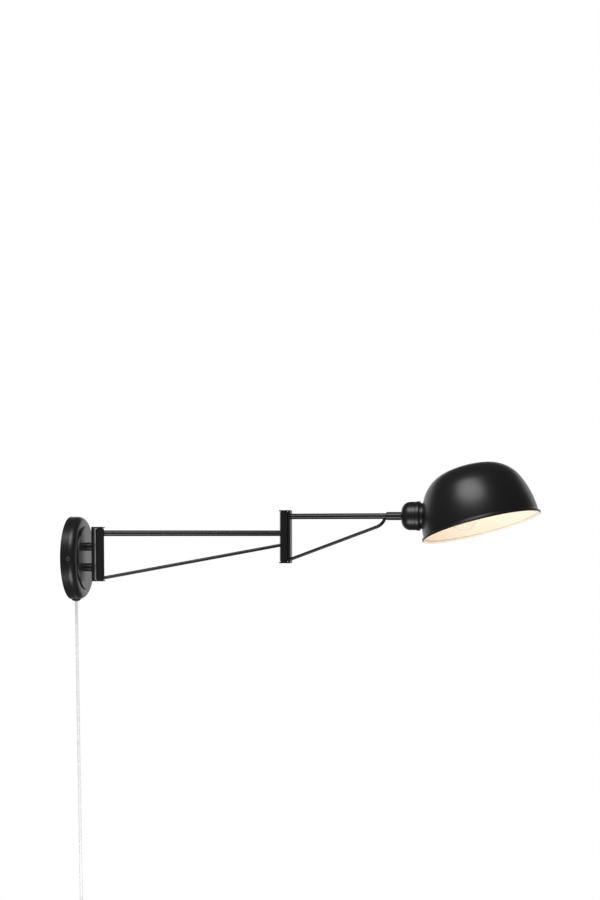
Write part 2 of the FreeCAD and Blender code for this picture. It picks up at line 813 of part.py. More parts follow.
def build_hinges():
    wall_fork = build_fork("wall_fork", ROOT, FORK_BACK, "wall_web", "0", 1)
    holes = new_sketch(wall_fork, "YZ_Plane", FORK_BACK)
    circle(holes, "0", UPPER_POST, "nipple_radius + seat_gap")
    circle(holes, "0", LOWER_POST, "nipple_radius + seat_gap")
    pocket(wall_fork, holes, "wall_web * 2", backwards=True)
    build_pins("wall_pivot_pins", ROOT, WALL_PIVOT, "0")
    build_washers("wall_pivot_washers", "0", "0")
    build_upright("wall_upright", "0", "0", [(-1, ARM_1_HEIGHT), (1, ARM_1_HEIGHT)])
    build_plugs("wall_upright_plug", "0", "0", ARM_1_HEIGHT)

    elbow_back = "(web_reach + elbow_web)"
    elbow_fork = build_fork("elbow_fork", ARM_2, elbow_back, "elbow_web", "elbow_rise", -1)
    lead = new_sketch(elbow_fork, "YZ_Plane", elbow_back)
    circle(lead, "0", ARM_2_HEIGHT, "arm_tube_bore")
    pocket(elbow_fork, lead, "elbow_web * 2")
    build_pins("elbow_pivot_pins", ARM_2, "0", "elbow_rise")
    build_washers("elbow_pivot_washers", "arm_1_length", "elbow_rise")
    build_upright("elbow_upright", "arm_1_length", "elbow_rise", [(-1, ARM_1_HEIGHT), (1, ARM_2_HEIGHT)])
    build_plugs("elbow_upright_plug", "arm_1_length", "elbow_rise", ARM_2_HEIGHT)
    build_grub_screws()


# ---------------------------------------------------------------- arms


def build_arm_1():
    """The long arm: a tube between the two uprights and a straight brace rod below it."""
    start = "(upright_side / 2)"
    span = "(arm_1_length - upright_side)"
    arm = tube("arm_1", "arm_tube_radius", "arm_tube_bore", span, (start, "0", ARM_1_HEIGHT))
    keep(arm, "arm_1_tube", ARM_1)
    low = Vector(value(start), 0, value(f"{ARM_1_HEIGHT} - arm_1_brace_low"))
    high = Vector(value(f"{start} + {span}"), 0, value(f"{ARM_1_HEIGHT} - arm_1_brace_high"))
    run = (high - low).normalize()
    spare = value("4 * brace_radius")
    length = f"sqrt({span} ^ 2 + (arm_1_brace_low - arm_1_brace_high) ^ 2) + 8 * brace_radius"
    long_rod = doc.addObject("Part::Cylinder", "arm_1_brace_blank")
    tie(long_rod, Radius="brace_radius", Height=length)
    long_rod.Placement = Placement(low - run * spare, Rotation(Vector(0, 0, 1), run))
    room_size = (span, "2 * upright_side", "hinge_height")
    room = box("arm_1_brace_room", (start, "-upright_side", FORK_BOTTOM), room_size)
    keep(common(long_rod, room), "arm_1_brace", ARM_1)
    lead_start = (f"{start} - lead_overhang - upright_wall", "0", LEAD_1_HEIGHT)
    lead = rod("arm_1_lead_blank", "lead_radius", f"{span} + 2 * (lead_overhang + upright_wall)", lead_start)
    keep(lead, "arm_1_lead", ARM_1)


LEAD_1_HEIGHT = f"({ARM_1_HEIGHT} - arm_tube_bore + lead_radius + seat_gap)"
LEAD_2_HEIGHT = f"({ARM_2_HEIGHT} - arm_tube_bore + lead_radius + seat_gap)"


def build_arm_2():
    """The short arm: a tube from the elbow fork into the sleeve, and a brace rod that runs straight and
    then bends up to the tube, where it is welded beside the sleeve."""
    start = "(web_reach + elbow_web)"
    length = f"{ARM_2_TUBE_END} - {start}"
    arm = tube("arm_2", "arm_tube_radius", "arm_tube_bore", length, (start, "0", ARM_2_HEIGHT))
    keep(arm, "arm_2_tube", ARM_2)
    height = value(ARM_2_HEIGHT)
    foot = Vector(value(start), 0, height - value("arm_2_brace_drop"))
    bend_along = value(f"{SLEEVE_START} - arm_2_brace_bend_back")
    bend = Vector(bend_along, 0, height - value("arm_2_brace_bend_drop"))
    head = Vector(value(f"{SLEEVE_START} - brace_radius / 2"), 0, height - value("arm_tube_radius / 2"))
    lower_run, upper_run = (bend - foot).normalize(), (head - bend).normalize()
    behind = foot - lower_run * value("4 * brace_radius")
    radius = value("arm_2_brace_round")
    reach = radius * math.tan(lower_run.getAngle(upper_run) / 2)
    wire = rounded_path([behind, bend, head], [reach])
    blank = solid_from("arm_2_brace_blank", round_pipe(wire, behind, lower_run, "brace_radius"))
    room_size = (f"{SLEEVE_START} - {start}", "2 * upright_side", "3 * hinge_height")
    room = box("arm_2_brace_room", (start, "-upright_side", "-hinge_height"), room_size)
    saddle = rod("arm_2_saddle", "arm_tube_radius", ARM_2_TUBE_END, ("0", "0", ARM_2_HEIGHT))
    keep(cut(common(blank, room), saddle), "arm_2_brace", ARM_2)
    lead = rod("arm_2_lead_blank", "lead_radius", f"{NIPPLE_END} - {start}", (start, "0", LEAD_2_HEIGHT))
    keep(lead, "arm_2_lead", ARM_2)


def rounded_path(points, reaches):
    """Straight runs joined by tangent arcs. Each reach is how far from its point an arc begins."""
    edges, start = [], points[0]
    for index, reach in enumerate(reaches, start=1):
        before = (points[index] - points[index - 1]).normalize()
        after = (points[index + 1] - points[index]).normalize()
        entry, leave = points[index] - before * reach, points[index] + after * reach
        if (entry - start).Length > 1e-6:
            edges.append(Part.LineSegment(start, entry).toShape())
        edges.append(tangent_arc(entry, before, leave))
        start = leave
    edges.append(Part.LineSegment(start, points[-1]).toShape())
    return Part.Wire(edges)


def tangent_arc(start, tangent, end):
    """The arc from start to end that leaves start along the tangent."""
    chord = end - start
    unit = Vector(chord).normalize()
    off = tangent - unit * tangent.dot(unit)
    angle = tangent.getAngle(unit)
    middle = start + chord / 2 + off.normalize() * (chord.Length / 2 * math.tan(angle / 2))
    return Part.Arc(start, middle, end).toShape()


def round_pipe(wire, start, direction, radius):
    """A round section carried along a wire."""
    section = Part.Wire([Part.Circle(start, direction, value(radius)).toShape()])
    return wire.makePipeShell([section], True, False)


# ---------------------------------------------------------------- swivel, socket cup and shade


def build_swivel():
    """The sleeve on the second arm and the hollow nipple on which the lamp head turns."""
    body = new_body("swivel_sleeve", HEAD_LEVEL)
    profile = [
        (SLEEVE_START, "arm_tube_radius + seat_gap"),
        ("sleeve_end", "arm_tube_radius + seat_gap"),
        ("sleeve_end", "sleeve_radius"),
        (f"{SLEEVE_START} + sleeve_round", "sleeve_radius", "sleeve_round", -1),
        (SLEEVE_START, "sleeve_radius - sleeve_round"),
    ]
    revolve(body, outline(new_sketch(body, "XZ_Plane"), profile))
    thread = new_sketch(body, "XY_Plane")
    circle(thread, "sleeve_end - sleeve_grub_back", "0", "sleeve_grub_radius + seat_gap")
    pocket(body, thread, "sleeve_radius")
    grub_start = ("sleeve_end - sleeve_grub_back", "0", "grub_recess - sleeve_radius")
    grub_length = "sleeve_radius - arm_tube_radius - grub_recess - seat_gap"
    grub = rod("sleeve_grub_blank", "sleeve_grub_radius", grub_length, grub_start, (0, 0, 1))
    keep(grub, "sleeve_grub_screw", HEAD_LEVEL)
    start = (ARM_2_TUBE_END, "0", "0")
    nipple = tube("swivel", "arm_tube_radius", "arm_tube_bore", f"{NIPPLE_END} - {ARM_2_TUBE_END}", start)
    keep(nipple, "swivel_nipple", HEAD_LEVEL)
    inner = f"({CUP_BACK} + cup_wall + thrust_gap)"
    seat = "arm_tube_radius + seat_gap"
    washer = tube("swivel_flat", "swivel_washer_radius", seat, "swivel_washer_thickness", (inner, "0", "0"))
    keep(washer, "swivel_washer", HEAD_LEVEL)
    nut_back = (f"{inner} + swivel_washer_thickness", "0", "0")
    nut = hexagon("swivel_nut_blank", "swivel_nut_across", "swivel_nut_thickness", nut_back)
    keep(cut(nut, rod("swivel_nut_bore", seat, "swivel_nut_thickness", nut_back)), "swivel_nut", HEAD_LEVEL)


HEAD_LEVEL = ARM_2 * Placement(Vector(0, 0, value(ARM_2_HEIGHT)), Rotation())


def build_cup():
    """The socket cup: a domed back, a straight side with a fine groove, and an open front."""
    body = new_body("socket_cup", HEAD)
    side = f"({CUP_BACK} + cup_round)"
    hub = "(cup_radius - cup_round)"
    inside = "(cup_radius - cup_wall)"
    groove = f"({CUP_FRONT} - cup_groove_back)"
    bore = "(arm_tube_radius + 2 * running_gap)"
    profile = [
        (CUP_BACK, bore),
        (CUP_BACK, hub, "cup_round", 1),
        (side, "cup_radius"),
        (f"{groove} - cup_groove_width / 2", "cup_radius"),
        (groove, "cup_radius - cup_groove_depth"),
        (f"{groove} + cup_groove_width / 2", "cup_radius"),
        (CUP_FRONT, "cup_radius"),
        (CUP_FRONT, inside),
        (side, inside, "(cup_round - cup_wall)", -1),
        (f"{CUP_BACK} + cup_wall", hub),
        (f"{CUP_BACK} + cup_wall", bore),
    ]
    revolve(body, outline(new_sketch(body, "XZ_Plane"), profile))


def build_ring():
    """The ring at the cup's mouth, which clamps the spacer and the shade on the lamp holder."""
    body = new_body("cup_ring", HEAD)
    bore = "(holder_radius + seat_gap)"
    profile = [
        (CUP_FRONT, bore),
        (CUP_FRONT, "ring_radius - ring_round", "ring_round", 1),
        (f"{CUP_FRONT} + ring_round", "ring_radius"),
        (f"{RING_FRONT} - ring_round", "ring_radius", "ring_round", 1),
        (RING_FRONT, "ring_radius - ring_round"),
        (RING_FRONT, bore),
    ]
    revolve(body, outline(new_sketch(body, "XZ_Plane"), profile))


def shade_edges(inset):
    """The edges of one surface of the shade, moved in by `inset`, from its lip to the top of its crown."""
    edges = []
    for centre, radius, first, last in shade_arcs():
        spots = [centre + spoke(angle) * (radius - inset) for angle in (first, (first + last) / 2, last)]
        edges.append(Part.Arc(*spots).toShape())
    taper = math.radians(value("shade_foot_taper"))
    foot = edges[0].Vertexes[0].Point
    lip = Vector(value("shade_lip_radius") - inset, 0, 0)
    flare = tangent_arc(foot, Vector(math.sin(taper), 0, -math.cos(taper)), lip)
    return [flare] + edges


def shade_ends(inset, edges):
    """The lip's and the crown's end of one surface's edges."""
    return Vector(value("shade_lip_radius") - inset, 0, 0), edges[-1].Vertexes[-1].Point


def turned_section(edges):
    """The solid that a closed section of the shade makes when it is turned about the shade's axis."""
    wire = Part.Wire(Part.__sortEdges__(edges))
    return Part.Face(wire).revolve(Vector(0, 0, 0), Vector(0, 0, 1), 360)


def shade_filling(inset, frame):
    """All the room under one surface of the shade, placed in a frame."""
    edges, centre = shade_edges(inset), Vector(0, 0, 0)
    lip, top = shade_ends(inset, edges)
    closing = [Part.LineSegment(top, centre).toShape(), Part.LineSegment(centre, lip).toShape()]
    filling = turned_section(edges + closing)
    filling.Placement = frame
    return filling


def shade_wall():
    """The shade's own wall, between its outer and its inner surface."""
    wall = value("shade_wall")
    outer, inner = shade_edges(0), shade_edges(wall)
    ends = zip(shade_ends(0, outer), shade_ends(wall, inner))
    return turned_section(outer + inner + [Part.LineSegment(*pair).toShape() for pair in ends])


def build_shade():
    """The spun shade, with a bead round its rim and a hole for the lamp holder."""
    along_arm = Rotation(Vector(0, 0, 1), Vector(1, 0, 0))
    hole = Part.makeCylinder(value("holder_radius + 2 * seat_gap"), value("plate_radius"))
    hole.Placement = Placement(Vector(value(f"{SHADE_FACE} - plate_radius / 2"), 0, 0), along_arm)
    hole.Placement = shade_placement().inverse() * hole.Placement
    bead = Part.makeTorus(value("shade_lip_radius - shade_wall / 2"), value("shade_bead_radius"))
    keep(solid_from("shade_shell", shade_wall().fuse(bead).cut(hole)), "shade", SHADE)


def build_shade_seats():
    """The spacer outside the shade and the clamp ring inside it, each shaped to the shade's wall."""
    bore = value("holder_radius + seat_gap")
    back, face = value(RING_FRONT), value(SHADE_FACE)
    outer, bevel = value("ring_radius - spacer_step"), value("spacer_bevel")
    side_end, far = back + value("spacer_side_length"), face + value("ring_radius")
    corners = [(back, bore), (back, outer), (side_end, outer - bevel), (far, outer - bevel), (far, bore)]
    spacer = turned_about_x(corners).cut(shade_filling(-value("seat_gap"), shade_placement()))
    keep(solid_from("spacer_ring", spacer), "shade_spacer", HEAD)

    radius, front = value("clamp_ring_radius"), face + value("shade_wall + clamp_ring_length")
    corners = [(back, bore), (back, radius), (front, radius - value("clamp_ring_taper")), (front, bore)]
    clamp = turned_about_x(corners).common(shade_filling(value("shade_wall + seat_gap"), shade_placement()))
    keep(solid_from("clamp_ring", clamp), "shade_clamp_ring", HEAD)


def turned_about_x(corners):
    """A solid turned about the X axis from (along, radius) corners."""
    points = [Vector(along, 0, radius) for along, radius in corners]
    wire = Part.makePolygon(points + points[:1])
    return Part.Face(wire).revolve(Vector(0, 0, 0), Vector(1, 0, 0), 360)


# ---------------------------------------------------------------- lamp holder and bulb


def build_holder():
    """The lamp holder: a moulded body, the threaded shell in its bore and the contact on its floor."""
    body = new_body("lamp_holder", HEAD)
    seat = "(holder_shell_radius + seat_gap)"
    floor = f"({HOLDER_BACK} + holder_floor)"
    profile = [
        (HOLDER_BACK, "0"),
        (HOLDER_BACK, "holder_radius"),
        (f"{HOLDER_FRONT} - holder_lip", "holder_radius"),
        (HOLDER_FRONT, "holder_radius - holder_lip"),
        (HOLDER_FRONT, seat),
        (floor, seat),
        (floor, "0"),
    ]
    revolve(body, outline(new_sketch(body, "XZ_Plane"), profile))
    shell_start = (f"{floor} + bulb_tip_length", "0", "0")
    inner = "holder_shell_radius - holder_shell_wall"
    shell = tube("holder_shell_blank", "holder_shell_radius", inner, "holder_shell_length", shell_start)
    keep(shell, "holder_shell", HEAD)
    contact = rod("holder_contact_blank", "holder_contact_radius", "bulb_tip_length", (floor, "0", "0"))
    keep(contact, "holder_contact", HEAD)


NECK_END = f"({BULB_TIP} + bulb_cap_length)"


def build_bulb_glass():
    """The clear globe with its neck, of one wall."""
    centre = f"({BULB_TIP} + bulb_length - bulb_radius)"
    glass = new_body("bulb_glass", HEAD)
    inner, thin_neck = "(bulb_radius - bulb_wall)", "(bulb_neck_radius - bulb_wall)"
    outer_reach = "sqrt(bulb_radius ^ 2 - bulb_neck_radius ^ 2)"
    inner_reach = f"sqrt({inner} ^ 2 - {thin_neck} ^ 2)"
    profile = [
        (NECK_END, "bulb_neck_radius"),
        (f"{centre} - {outer_reach}", "bulb_neck_radius", "bulb_radius", 1),
        (f"{centre} + bulb_radius * cos(45)", "bulb_radius * sin(45)", "bulb_radius", 1),
        (f"{centre} + bulb_radius", "0"),
        (f"{centre} + {inner}", "0", inner, -1),
        (f"{centre} + {inner} * cos(45)", f"{inner} * sin(45)", inner, -1),
        (f"{centre} - {inner_reach}", thin_neck),
        (NECK_END, thin_neck),
    ]
    revolve(glass, outline(new_sketch(glass, "XZ_Plane"), profile))


def build_bulb_cap():
    """The bulb's screw cap, drawn as a plain cylinder with its tip."""
    cap = new_body("bulb_cap", HEAD)
    tip_end = f"({BULB_TIP} + bulb_tip_length)"
    profile = [
        (BULB_TIP, "0"),
        (BULB_TIP, "bulb_tip_radius"),
        (tip_end, "bulb_cap_radius - bulb_cap_edge"),
        (f"{tip_end} + bulb_cap_edge", "bulb_cap_radius"),
        (NECK_END, "bulb_cap_radius"),
        (NECK_END, "0"),
    ]
    revolve(cap, outline(new_sketch(cap, "XZ_Plane"), profile))


def build_filaments():
    """The stem on the bulb's cap, and four straight filaments that lean out from it."""
    keep(rod("stem", "stem_radius", "stem_length", (NECK_END, "0", "0")), "bulb_stem", HEAD)
    foot = Vector(value(f"{NECK_END} + stem_length + filament_radius"), 0, 0)
    count = 4
    sticks = []
    for index in range(count):
        angle = 2 * math.pi * (index + 1 / 2) / count
        side = Vector(0, math.cos(angle), math.sin(angle))
        lean = side * value("filament_spread - stem_radius") + Vector(value("filament_length"), 0, 0)
        stick = doc.addObject("Part::Cylinder", "filament")
        tie(stick, Radius="filament_radius", Height="filament_length")
        start = foot + side * value("stem_radius - filament_radius")
        stick.Placement = Placement(start, Rotation(Vector(0, 0, 1), lean))
        sticks.append(stick)
    keep(group("filament_group", sticks), "bulb_filaments", HEAD)


# ---------------------------------------------------------------- cord


def build_grip():
    """The cord grip in the plate's lower edge, and the nut on it."""
    body = new_body("cord_grip")
    sketch = new_sketch(body, "XZ_Plane")
    bore, outside = "(cord_radius + 2 * seat_gap)", "(-plate_radius)"
    inside = "(plate_wall + grip_nut_thickness + grip_thread_spare - plate_radius)"
    corners = [
        (bore, f"{outside} - grip_nose"),
        ("grip_nose_radius", f"{outside} - grip_nose"),
        ("grip_flange_radius", f"{outside} - grip_flange"),
        ("grip_flange_radius", outside),
        ("grip_hole_radius", outside),
        ("grip_hole_radius", inside),
        (bore, inside),
    ]
    outline(sketch, [(f"cord_offset + {radius}", height) for radius, height in corners])
    top = Vector(value("cord_offset"), 0, 0)
    foot = Vector(value("cord_offset"), value(outside), 0)
    line = sketch.addGeometry(Part.LineSegment(foot, top), True)
    place_point(sketch, line, 1, "cord_offset", outside)
    place_point(sketch, line, 2, "cord_offset", "0")
    turned = body.newObject("PartDesign::Revolution", "cord_grip_turned")
    turned.Profile = sketch
    turned.ReferenceAxis = (sketch, ["Axis0"])
    turned.Angle = 360
    doc.recompute()
    nut_low = ("cord_offset", "0", "plate_wall + grip_nut_gap - plate_radius")
    bore = "grip_hole_radius + seat_gap"
    nut = tube("grip_nut_blank", "grip_nut_radius", bore, "grip_nut_thickness", nut_low, (0, 0, 1))
    keep(nut, "cord_grip_nut")


def cord_points(label, points, reaches):
    """A cord's tube: its path's length and radii are printed, and its volume is checked."""
    wire = rounded_path(points, reaches)
    direction = (points[1] - points[0]).normalize()
    shape = round_pipe(wire, points[0], direction, "cord_radius")
    expected = math.pi * value("cord_radius") ** 2 * wire.Length
    print(f"{label}: length {wire.Length:.1f} mm, volume off by {abs(shape.Volume / expected - 1):.2%}")
    return shape


GRIP_END = "(-plate_radius - grip_nose)"
SUPPLY_BEND_SHARE = 0.25
FULL_BEND_SHARE = 0.9
SWITCH_MIDDLE = "(switch_wall_gap + switch_thickness / 2)"
SWITCH_BOTTOM = "(-switch_top - switch_length)"


def build_cord():
    """The cord from the plate's terminal to the plug: a lead inside, a straight hanging run to the switch,
    a tail, a tied coil of the spare length and the plug's own lead."""
    offset, half = value("cord_offset"), value(SWITCH_MIDDLE)
    exit_point = Vector(offset, 0, value(GRIP_END))
    terminal_middle = value(f"{STIFFENER_BACK} - terminal_depth / 2")
    terminal = Vector(terminal_middle, 0, value("-terminal_top - terminal_height"))
    low = Vector(offset, 0, value("-plate_radius + 3 * grip_nut_thickness"))
    high = terminal - Vector(0, 0, value("supply_lead_end"))
    reaches = [(high - low).Length * SUPPLY_BEND_SHARE, value("supply_lead_bend")]
    supply = cord_points("supply_lead", [exit_point, low, high, terminal], reaches)
    keep(solid_from("supply", supply), "supply_lead")

    switch_in = Vector(half, 0, value("-switch_top"))
    drop = cord_points("cord_drop", [exit_point, switch_in], [])
    keep(solid_from("drop", drop), "cord_drop")

    centre, entry = coil_layout()
    switch_out = Vector(half, 0, value(SWITCH_BOTTOM))
    bend_point, bend_reach = tail_bend(switch_out, entry)
    tail = cord_points("cord_tail", [switch_out, bend_point, entry["start"]], [bend_reach])
    keep(solid_from("tail", tail), "cord_tail")

    build_coil(centre)


# In turns: how long the coil takes to change its layer, and how much of it one pair of arcs covers.
LAYER_CHANGE = 0.5
BIARC_SPAN = 0.26


def coil_layout():
    """The coil's centre and where the tail runs into it. The coil hangs in a plane beside the wall, its
    middle under the cord, and the tail bends aside to meet its outer turn."""
    start_angle = math.radians(value("coil_start_angle"))
    outer, bend = value("coil_outer"), value("tail_bend")
    turn = math.pi - start_angle
    drop = value("tail_length") + bend * math.sin(turn)
    start_z = value(SWITCH_BOTTOM) - drop
    centre = Vector(value(SWITCH_MIDDLE), 0, start_z - outer * math.sin(start_angle))
    start = coil_point(0, centre)
    return centre, {"start": start, "direction": coil_direction(0)}


def coil_radius(turn):
    """The spiral's radius after so many turns: in at a steady rate, then out again."""
    half = value("coil_turns") / 2
    inward = turn if turn < half else 2 * half - turn
    return value("coil_outer") - value("coil_pitch") * inward


def coil_layer(turn):
    """How far the cord has climbed from the first layer to the second, over the half turn in which the
    spiral reverses."""
    half = value("coil_turns") / 2
    climb = min(max((turn - half) / LAYER_CHANGE + 1 / 2, 0), 1)
    return value("coil_pitch") * (3 * climb**2 - 2 * climb**3)


def coil_point(turn, centre):
    angle = math.radians(value("coil_start_angle")) + 2 * math.pi * turn
    radius = coil_radius(turn)
    return centre + Vector(coil_layer(turn), radius * math.cos(angle), radius * math.sin(angle))


def coil_direction(turn):
    """The coil's direction of travel, from its points just before and after."""
    step = 0.002
    origin = Vector(0, 0, 0)
    total = value("coil_turns")
    before, after = max(turn - step, 0), min(turn + step, total)
    return (coil_point(after, origin) - coil_point(before, origin)).normalize()


def tail_bend(switch_out, entry):
    """Where the tail's straight run and the coil's first direction would meet, and the arc's reach."""
    direction, start = entry["direction"], entry["start"]
    travel = (start.y - switch_out.y) / direction.y
    point = start - direction * travel
    run = min((point - switch_out).Length, (start - point).Length)
    return Vector(switch_out.x, 0, point.z), run * FULL_BEND_SHARE


def biarc(start, start_direction, end, end_direction):
    """Two arcs, tangent to each other, from one point and direction to another."""
    chord = end - start
    both = start_direction + end_direction
    spread = 2 * (1 - start_direction.dot(end_direction))
    along = chord.dot(both)
    reach = (math.sqrt(along**2 + spread * chord.dot(chord)) - along) / spread
    first, second = start + start_direction * reach, end - end_direction * reach
    join = (first + second) / 2
    middle_direction = (second - first).normalize()
    return [tangent_arc(start, start_direction, join), tangent_arc(join, middle_direction, end)]


def build_coil(centre):
    """The coil of the spare length, its tie and the plug's lead."""
    total = value("coil_turns")
    spans = 2 * math.ceil(total / 2 / BIARC_SPAN)
    stops = [total * index / spans for index in range(spans + 1)]
    edges = []
    for first, last in zip(stops, stops[1:]):
        start, end = coil_point(first, centre), coil_point(last, centre)
        edges += biarc(start, coil_direction(first), end, coil_direction(last))
    wire = Part.Wire(edges)
    shape = round_pipe(wire, coil_point(0, centre), coil_direction(0), "cord_radius")
    expected = math.pi * value("cord_radius") ** 2 * wire.Length
    print(f"cord_coil: length {wire.Length:.1f} mm, volume off by {abs(shape.Volume / expected - 1):.2%}")
    print(f"cord_coil: least gap between turns {least_gap(wire):.2f} mm")
    keep(solid_from("coil", shape), "cord_coil")
    build_tie(centre)
    leave, direction = coil_point(total, centre), coil_direction(total)
    build_plug(leave, direction)


def least_gap(wire):
    """The coil's least gap to itself, measured between points that are over half a turn apart."""
    step = value("cord_radius")
    points = wire.discretize(Distance=step)
    apart = int(math.pi * value("coil_outer - coil_pitch * coil_turns / 2") / step)
    nearest = min(
        (points[first] - point).Length
        for first in range(0, len(points), 2)
        for point in points[first + apart :]
    )
    return nearest - 2 * value("cord_radius")


def build_tie(centre):
    """A strap round the bundle of turns, on the side away from the plug's lead."""
    clear = value("cord_radius + tie_gap")
    inner = value("coil_outer - coil_pitch * coil_turns / 2") - clear
    outer = value("coil_outer") + clear
    low, high = -clear, value("coil_pitch") + clear
    thick, width = value("tie_thickness"), value("tie_width")
    block = Part.makeBox(high - low + 2 * thick, outer - inner + 2 * thick, width)
    block.Placement.Base = centre + Vector(low - thick, inner - thick, -width / 2)
    window = Part.makeBox(high - low, outer - inner, 2 * width)
    window.Placement.Base = centre + Vector(low, inner, -width)
    band = block.cut(window)
    corners = [edge for edge in band.Edges if abs(edge.Length - width) < 1e-6 and on_outside(edge, block)]
    keep(solid_from("tie_band", band.makeFillet(thick, corners)), "coil_tie")


def on_outside(edge, block):
    """Whether an edge is one of the tie's four outer corners."""
    middle = edge.CenterOfMass
    limits = block.BoundBox
    beside = lambda place, low, high: min(abs(place - low), abs(place - high)) < 1e-6
    return beside(middle.x, limits.XMin, limits.XMax) and beside(middle.y, limits.YMin, limits.YMax)


def build_plug(leave, direction):
    """The plug hanging on its lead: a flat two-pin plug."""
    down = Vector(0, 0, -1)
    length = value("plug_lead_length")
    turn = direction.getAngle(down)
    plug_in = Vector(leave.x, leave.y, leave.z - length)
    if turn > 1e-3:
        bend = leave + direction * (length / 3)
        plug_in = Vector(bend.x, bend.y, leave.z - length)
        reach = length / 3 * FULL_BEND_SHARE
        lead = cord_points("plug_lead", [leave, bend, plug_in], [reach])
    else:
        lead = cord_points("plug_lead", [leave, plug_in], [])
    keep(solid_from("plug_lead_tube", lead), "plug_lead")

    build_plug_body(Placement(plug_in, Rotation()))


def build_plug_body(frame):
    """The plug's moulded body, flat and tapered, and its two pins."""
    body = new_body("mains_plug", frame)
    half, neck = "(mains_plug_width / 2)", "(mains_plug_neck / 2)"
    corners = [
        (f"-{neck}", "0"),
        (f"-{half}", "-mains_plug_shoulder"),
        (f"-{half}", "-mains_plug_length"),
        (half, "-mains_plug_length"),
        (half, "-mains_plug_shoulder"),
        (neck, "0"),
    ]
    pad(body, outline(new_sketch(body, "YZ_Plane"), corners), "mains_plug_thickness", midplane=True)
    foot, flank = value("-mains_plug_length"), value("mains_plug_thickness / 4")
    sides = lambda edge: abs(edge.CenterOfMass.x) > flank and edge.CenterOfMass.z > foot + flank
    round_edges(body, sides, "mains_plug_edge")
    pins = []
    for side in (-1, 1):
        start = ("0", f"{side} * mains_pin_spacing / 2", "-mains_plug_length")
        pins.append(rod("mains_pin", "mains_pin_radius", "mains_pin_length", start, (0, 0, -1)))
    keep(group("mains_pin_group", pins), "plug_pins", frame)


# ---------------------------------------------------------------- switch


def switch_half(label, low, high):
    """One half of the switch's case, between two distances from the wall."""
    body = new_body(label)
    half = "(switch_width / 2)"
    top, bottom = "(-switch_top)", SWITCH_BOTTOM
    corner = "switch_corner"
    corners = [
        (f"-{half} + {corner}", bottom),
        (f"{half} - {corner}", bottom, corner, -1),
        (half, f"{bottom} + {corner}"),
        (half, f"{top} - {corner}", corner, -1),
        (f"{half} - {corner}", top),
        (f"-{half} + {corner}", top, corner, -1),
        (f"-{half}", f"{top} - {corner}"),
        (f"-{half}", f"{bottom} + {corner}", corner, -1),
    ]
    pad(body, outline(new_sketch(body, "YZ_Plane", low), corners), f"{high} - {low}")
    return body


def build_switch():
    """The in-line switch: two case halves, a rocker on an axle, and a well for it in the front half."""
    back, front = "switch_wall_gap", "(switch_wall_gap + switch_thickness)"
    rear = switch_half("switch_back", back, SWITCH_MIDDLE)
    case = switch_half("switch_front", SWITCH_MIDDLE, front)
    for body, plane_side in ((rear, value(back)), (case, value(front))):
        flat = lambda edge, at=plane_side: all(abs(v.X - at) < 1e-4 for v in edge.Vertexes)
        round_edges(body, flat, "switch_corner / 3")
    middle = f"({SWITCH_BOTTOM} + switch_length / 2)"
    wide, tall = "(rocker_width / 2 + rocker_gap)", "(rocker_length / 2 + rocker_gap)"
    well = new_sketch(case, "YZ_Plane", SWITCH_MIDDLE)
    rectangle(well, f"-{wide}", wide, f"{middle} - {tall}", f"{middle} + {tall}")
    pocket(case, well, "switch_thickness", backwards=True)
    axle_hole = new_sketch(case, "XZ_Plane")
    circle(axle_hole, ROCKER_AXIS, middle, "rocker_axle_radius + seat_gap")
    pocket(case, axle_hole, "rocker_width + 4 * rocker_axle_radius", midplane=True)
    axle_length = "rocker_width + 4 * rocker_axle_radius - 4 * seat_gap"
    axle_start = (ROCKER_AXIS, "2 * seat_gap - rocker_width / 2 - 2 * rocker_axle_radius", middle)
    keep(rod("axle", "rocker_axle_radius", axle_length, axle_start, (0, 1, 0)), "rocker_axle")
    build_rocker(middle)


ROCKER_AXIS = "(switch_wall_gap + switch_thickness - rocker_length / 4)"
ROCKER_FOOT_SHARE = 0.75


def build_rocker(middle):
    """The rocker, drawn level in its own frame about its axle: two flats that meet in a shallow valley.
    Turned by its angle it lies with one flat level with the case and the other standing out."""
    turn = Rotation(Vector(0, 1, 0), value("rocker_angle"))
    body = new_body("switch_rocker", Placement(Vector(value(ROCKER_AXIS), 0, value(middle)), turn))
    deep, long = "(rocker_length / 4)", "(rocker_length / 2)"
    crest = f"({deep} * cos(rocker_angle) + {long} * sin(rocker_angle))"
    reach = f"({long} * cos(rocker_angle) - {deep} * sin(rocker_angle))"
    valley = f"({crest} - {reach} * tan(rocker_angle))"
    floor = "(rocker_axle_radius + rocker_floor)"
    corners = [
        (crest, f"-{reach}"),
        (valley, "0"),
        (crest, reach),
        (f"-{floor}", f"{reach} * {ROCKER_FOOT_SHARE}"),
        (f"-{floor}", f"{reach} * -{ROCKER_FOOT_SHARE}"),
    ]
    pad(body, outline(new_sketch(body, "XZ_Plane"), corners), "rocker_width", midplane=True)
    bore = new_sketch(body, "XZ_Plane")
    circle(bore, "0", "0", "rocker_axle_radius + running_gap")
    pocket(body, bore, midplane=True)


# ---------------------------------------------------------------- build, check and write


def failed(item):
    return any(word in item.State for word in ("Invalid", "Error"))


def write_nodes():
    doc.recompute()
    broken = [item.Name for item in doc.Objects if failed(item)]
    for node in nodes:
        if node.Shape.isNull() or not node.Shape.isValid() or not node.Shape.Solids:
            broken.append(node.Label)
    if broken:
        raise RuntimeError(f"these did not build: {broken}")
    os.makedirs("parts", exist_ok=True)
    for node in nodes:
        node.Shape.exportStep(f"parts/{node.Label}.step")
    print(f"{len(nodes)} nodes written")


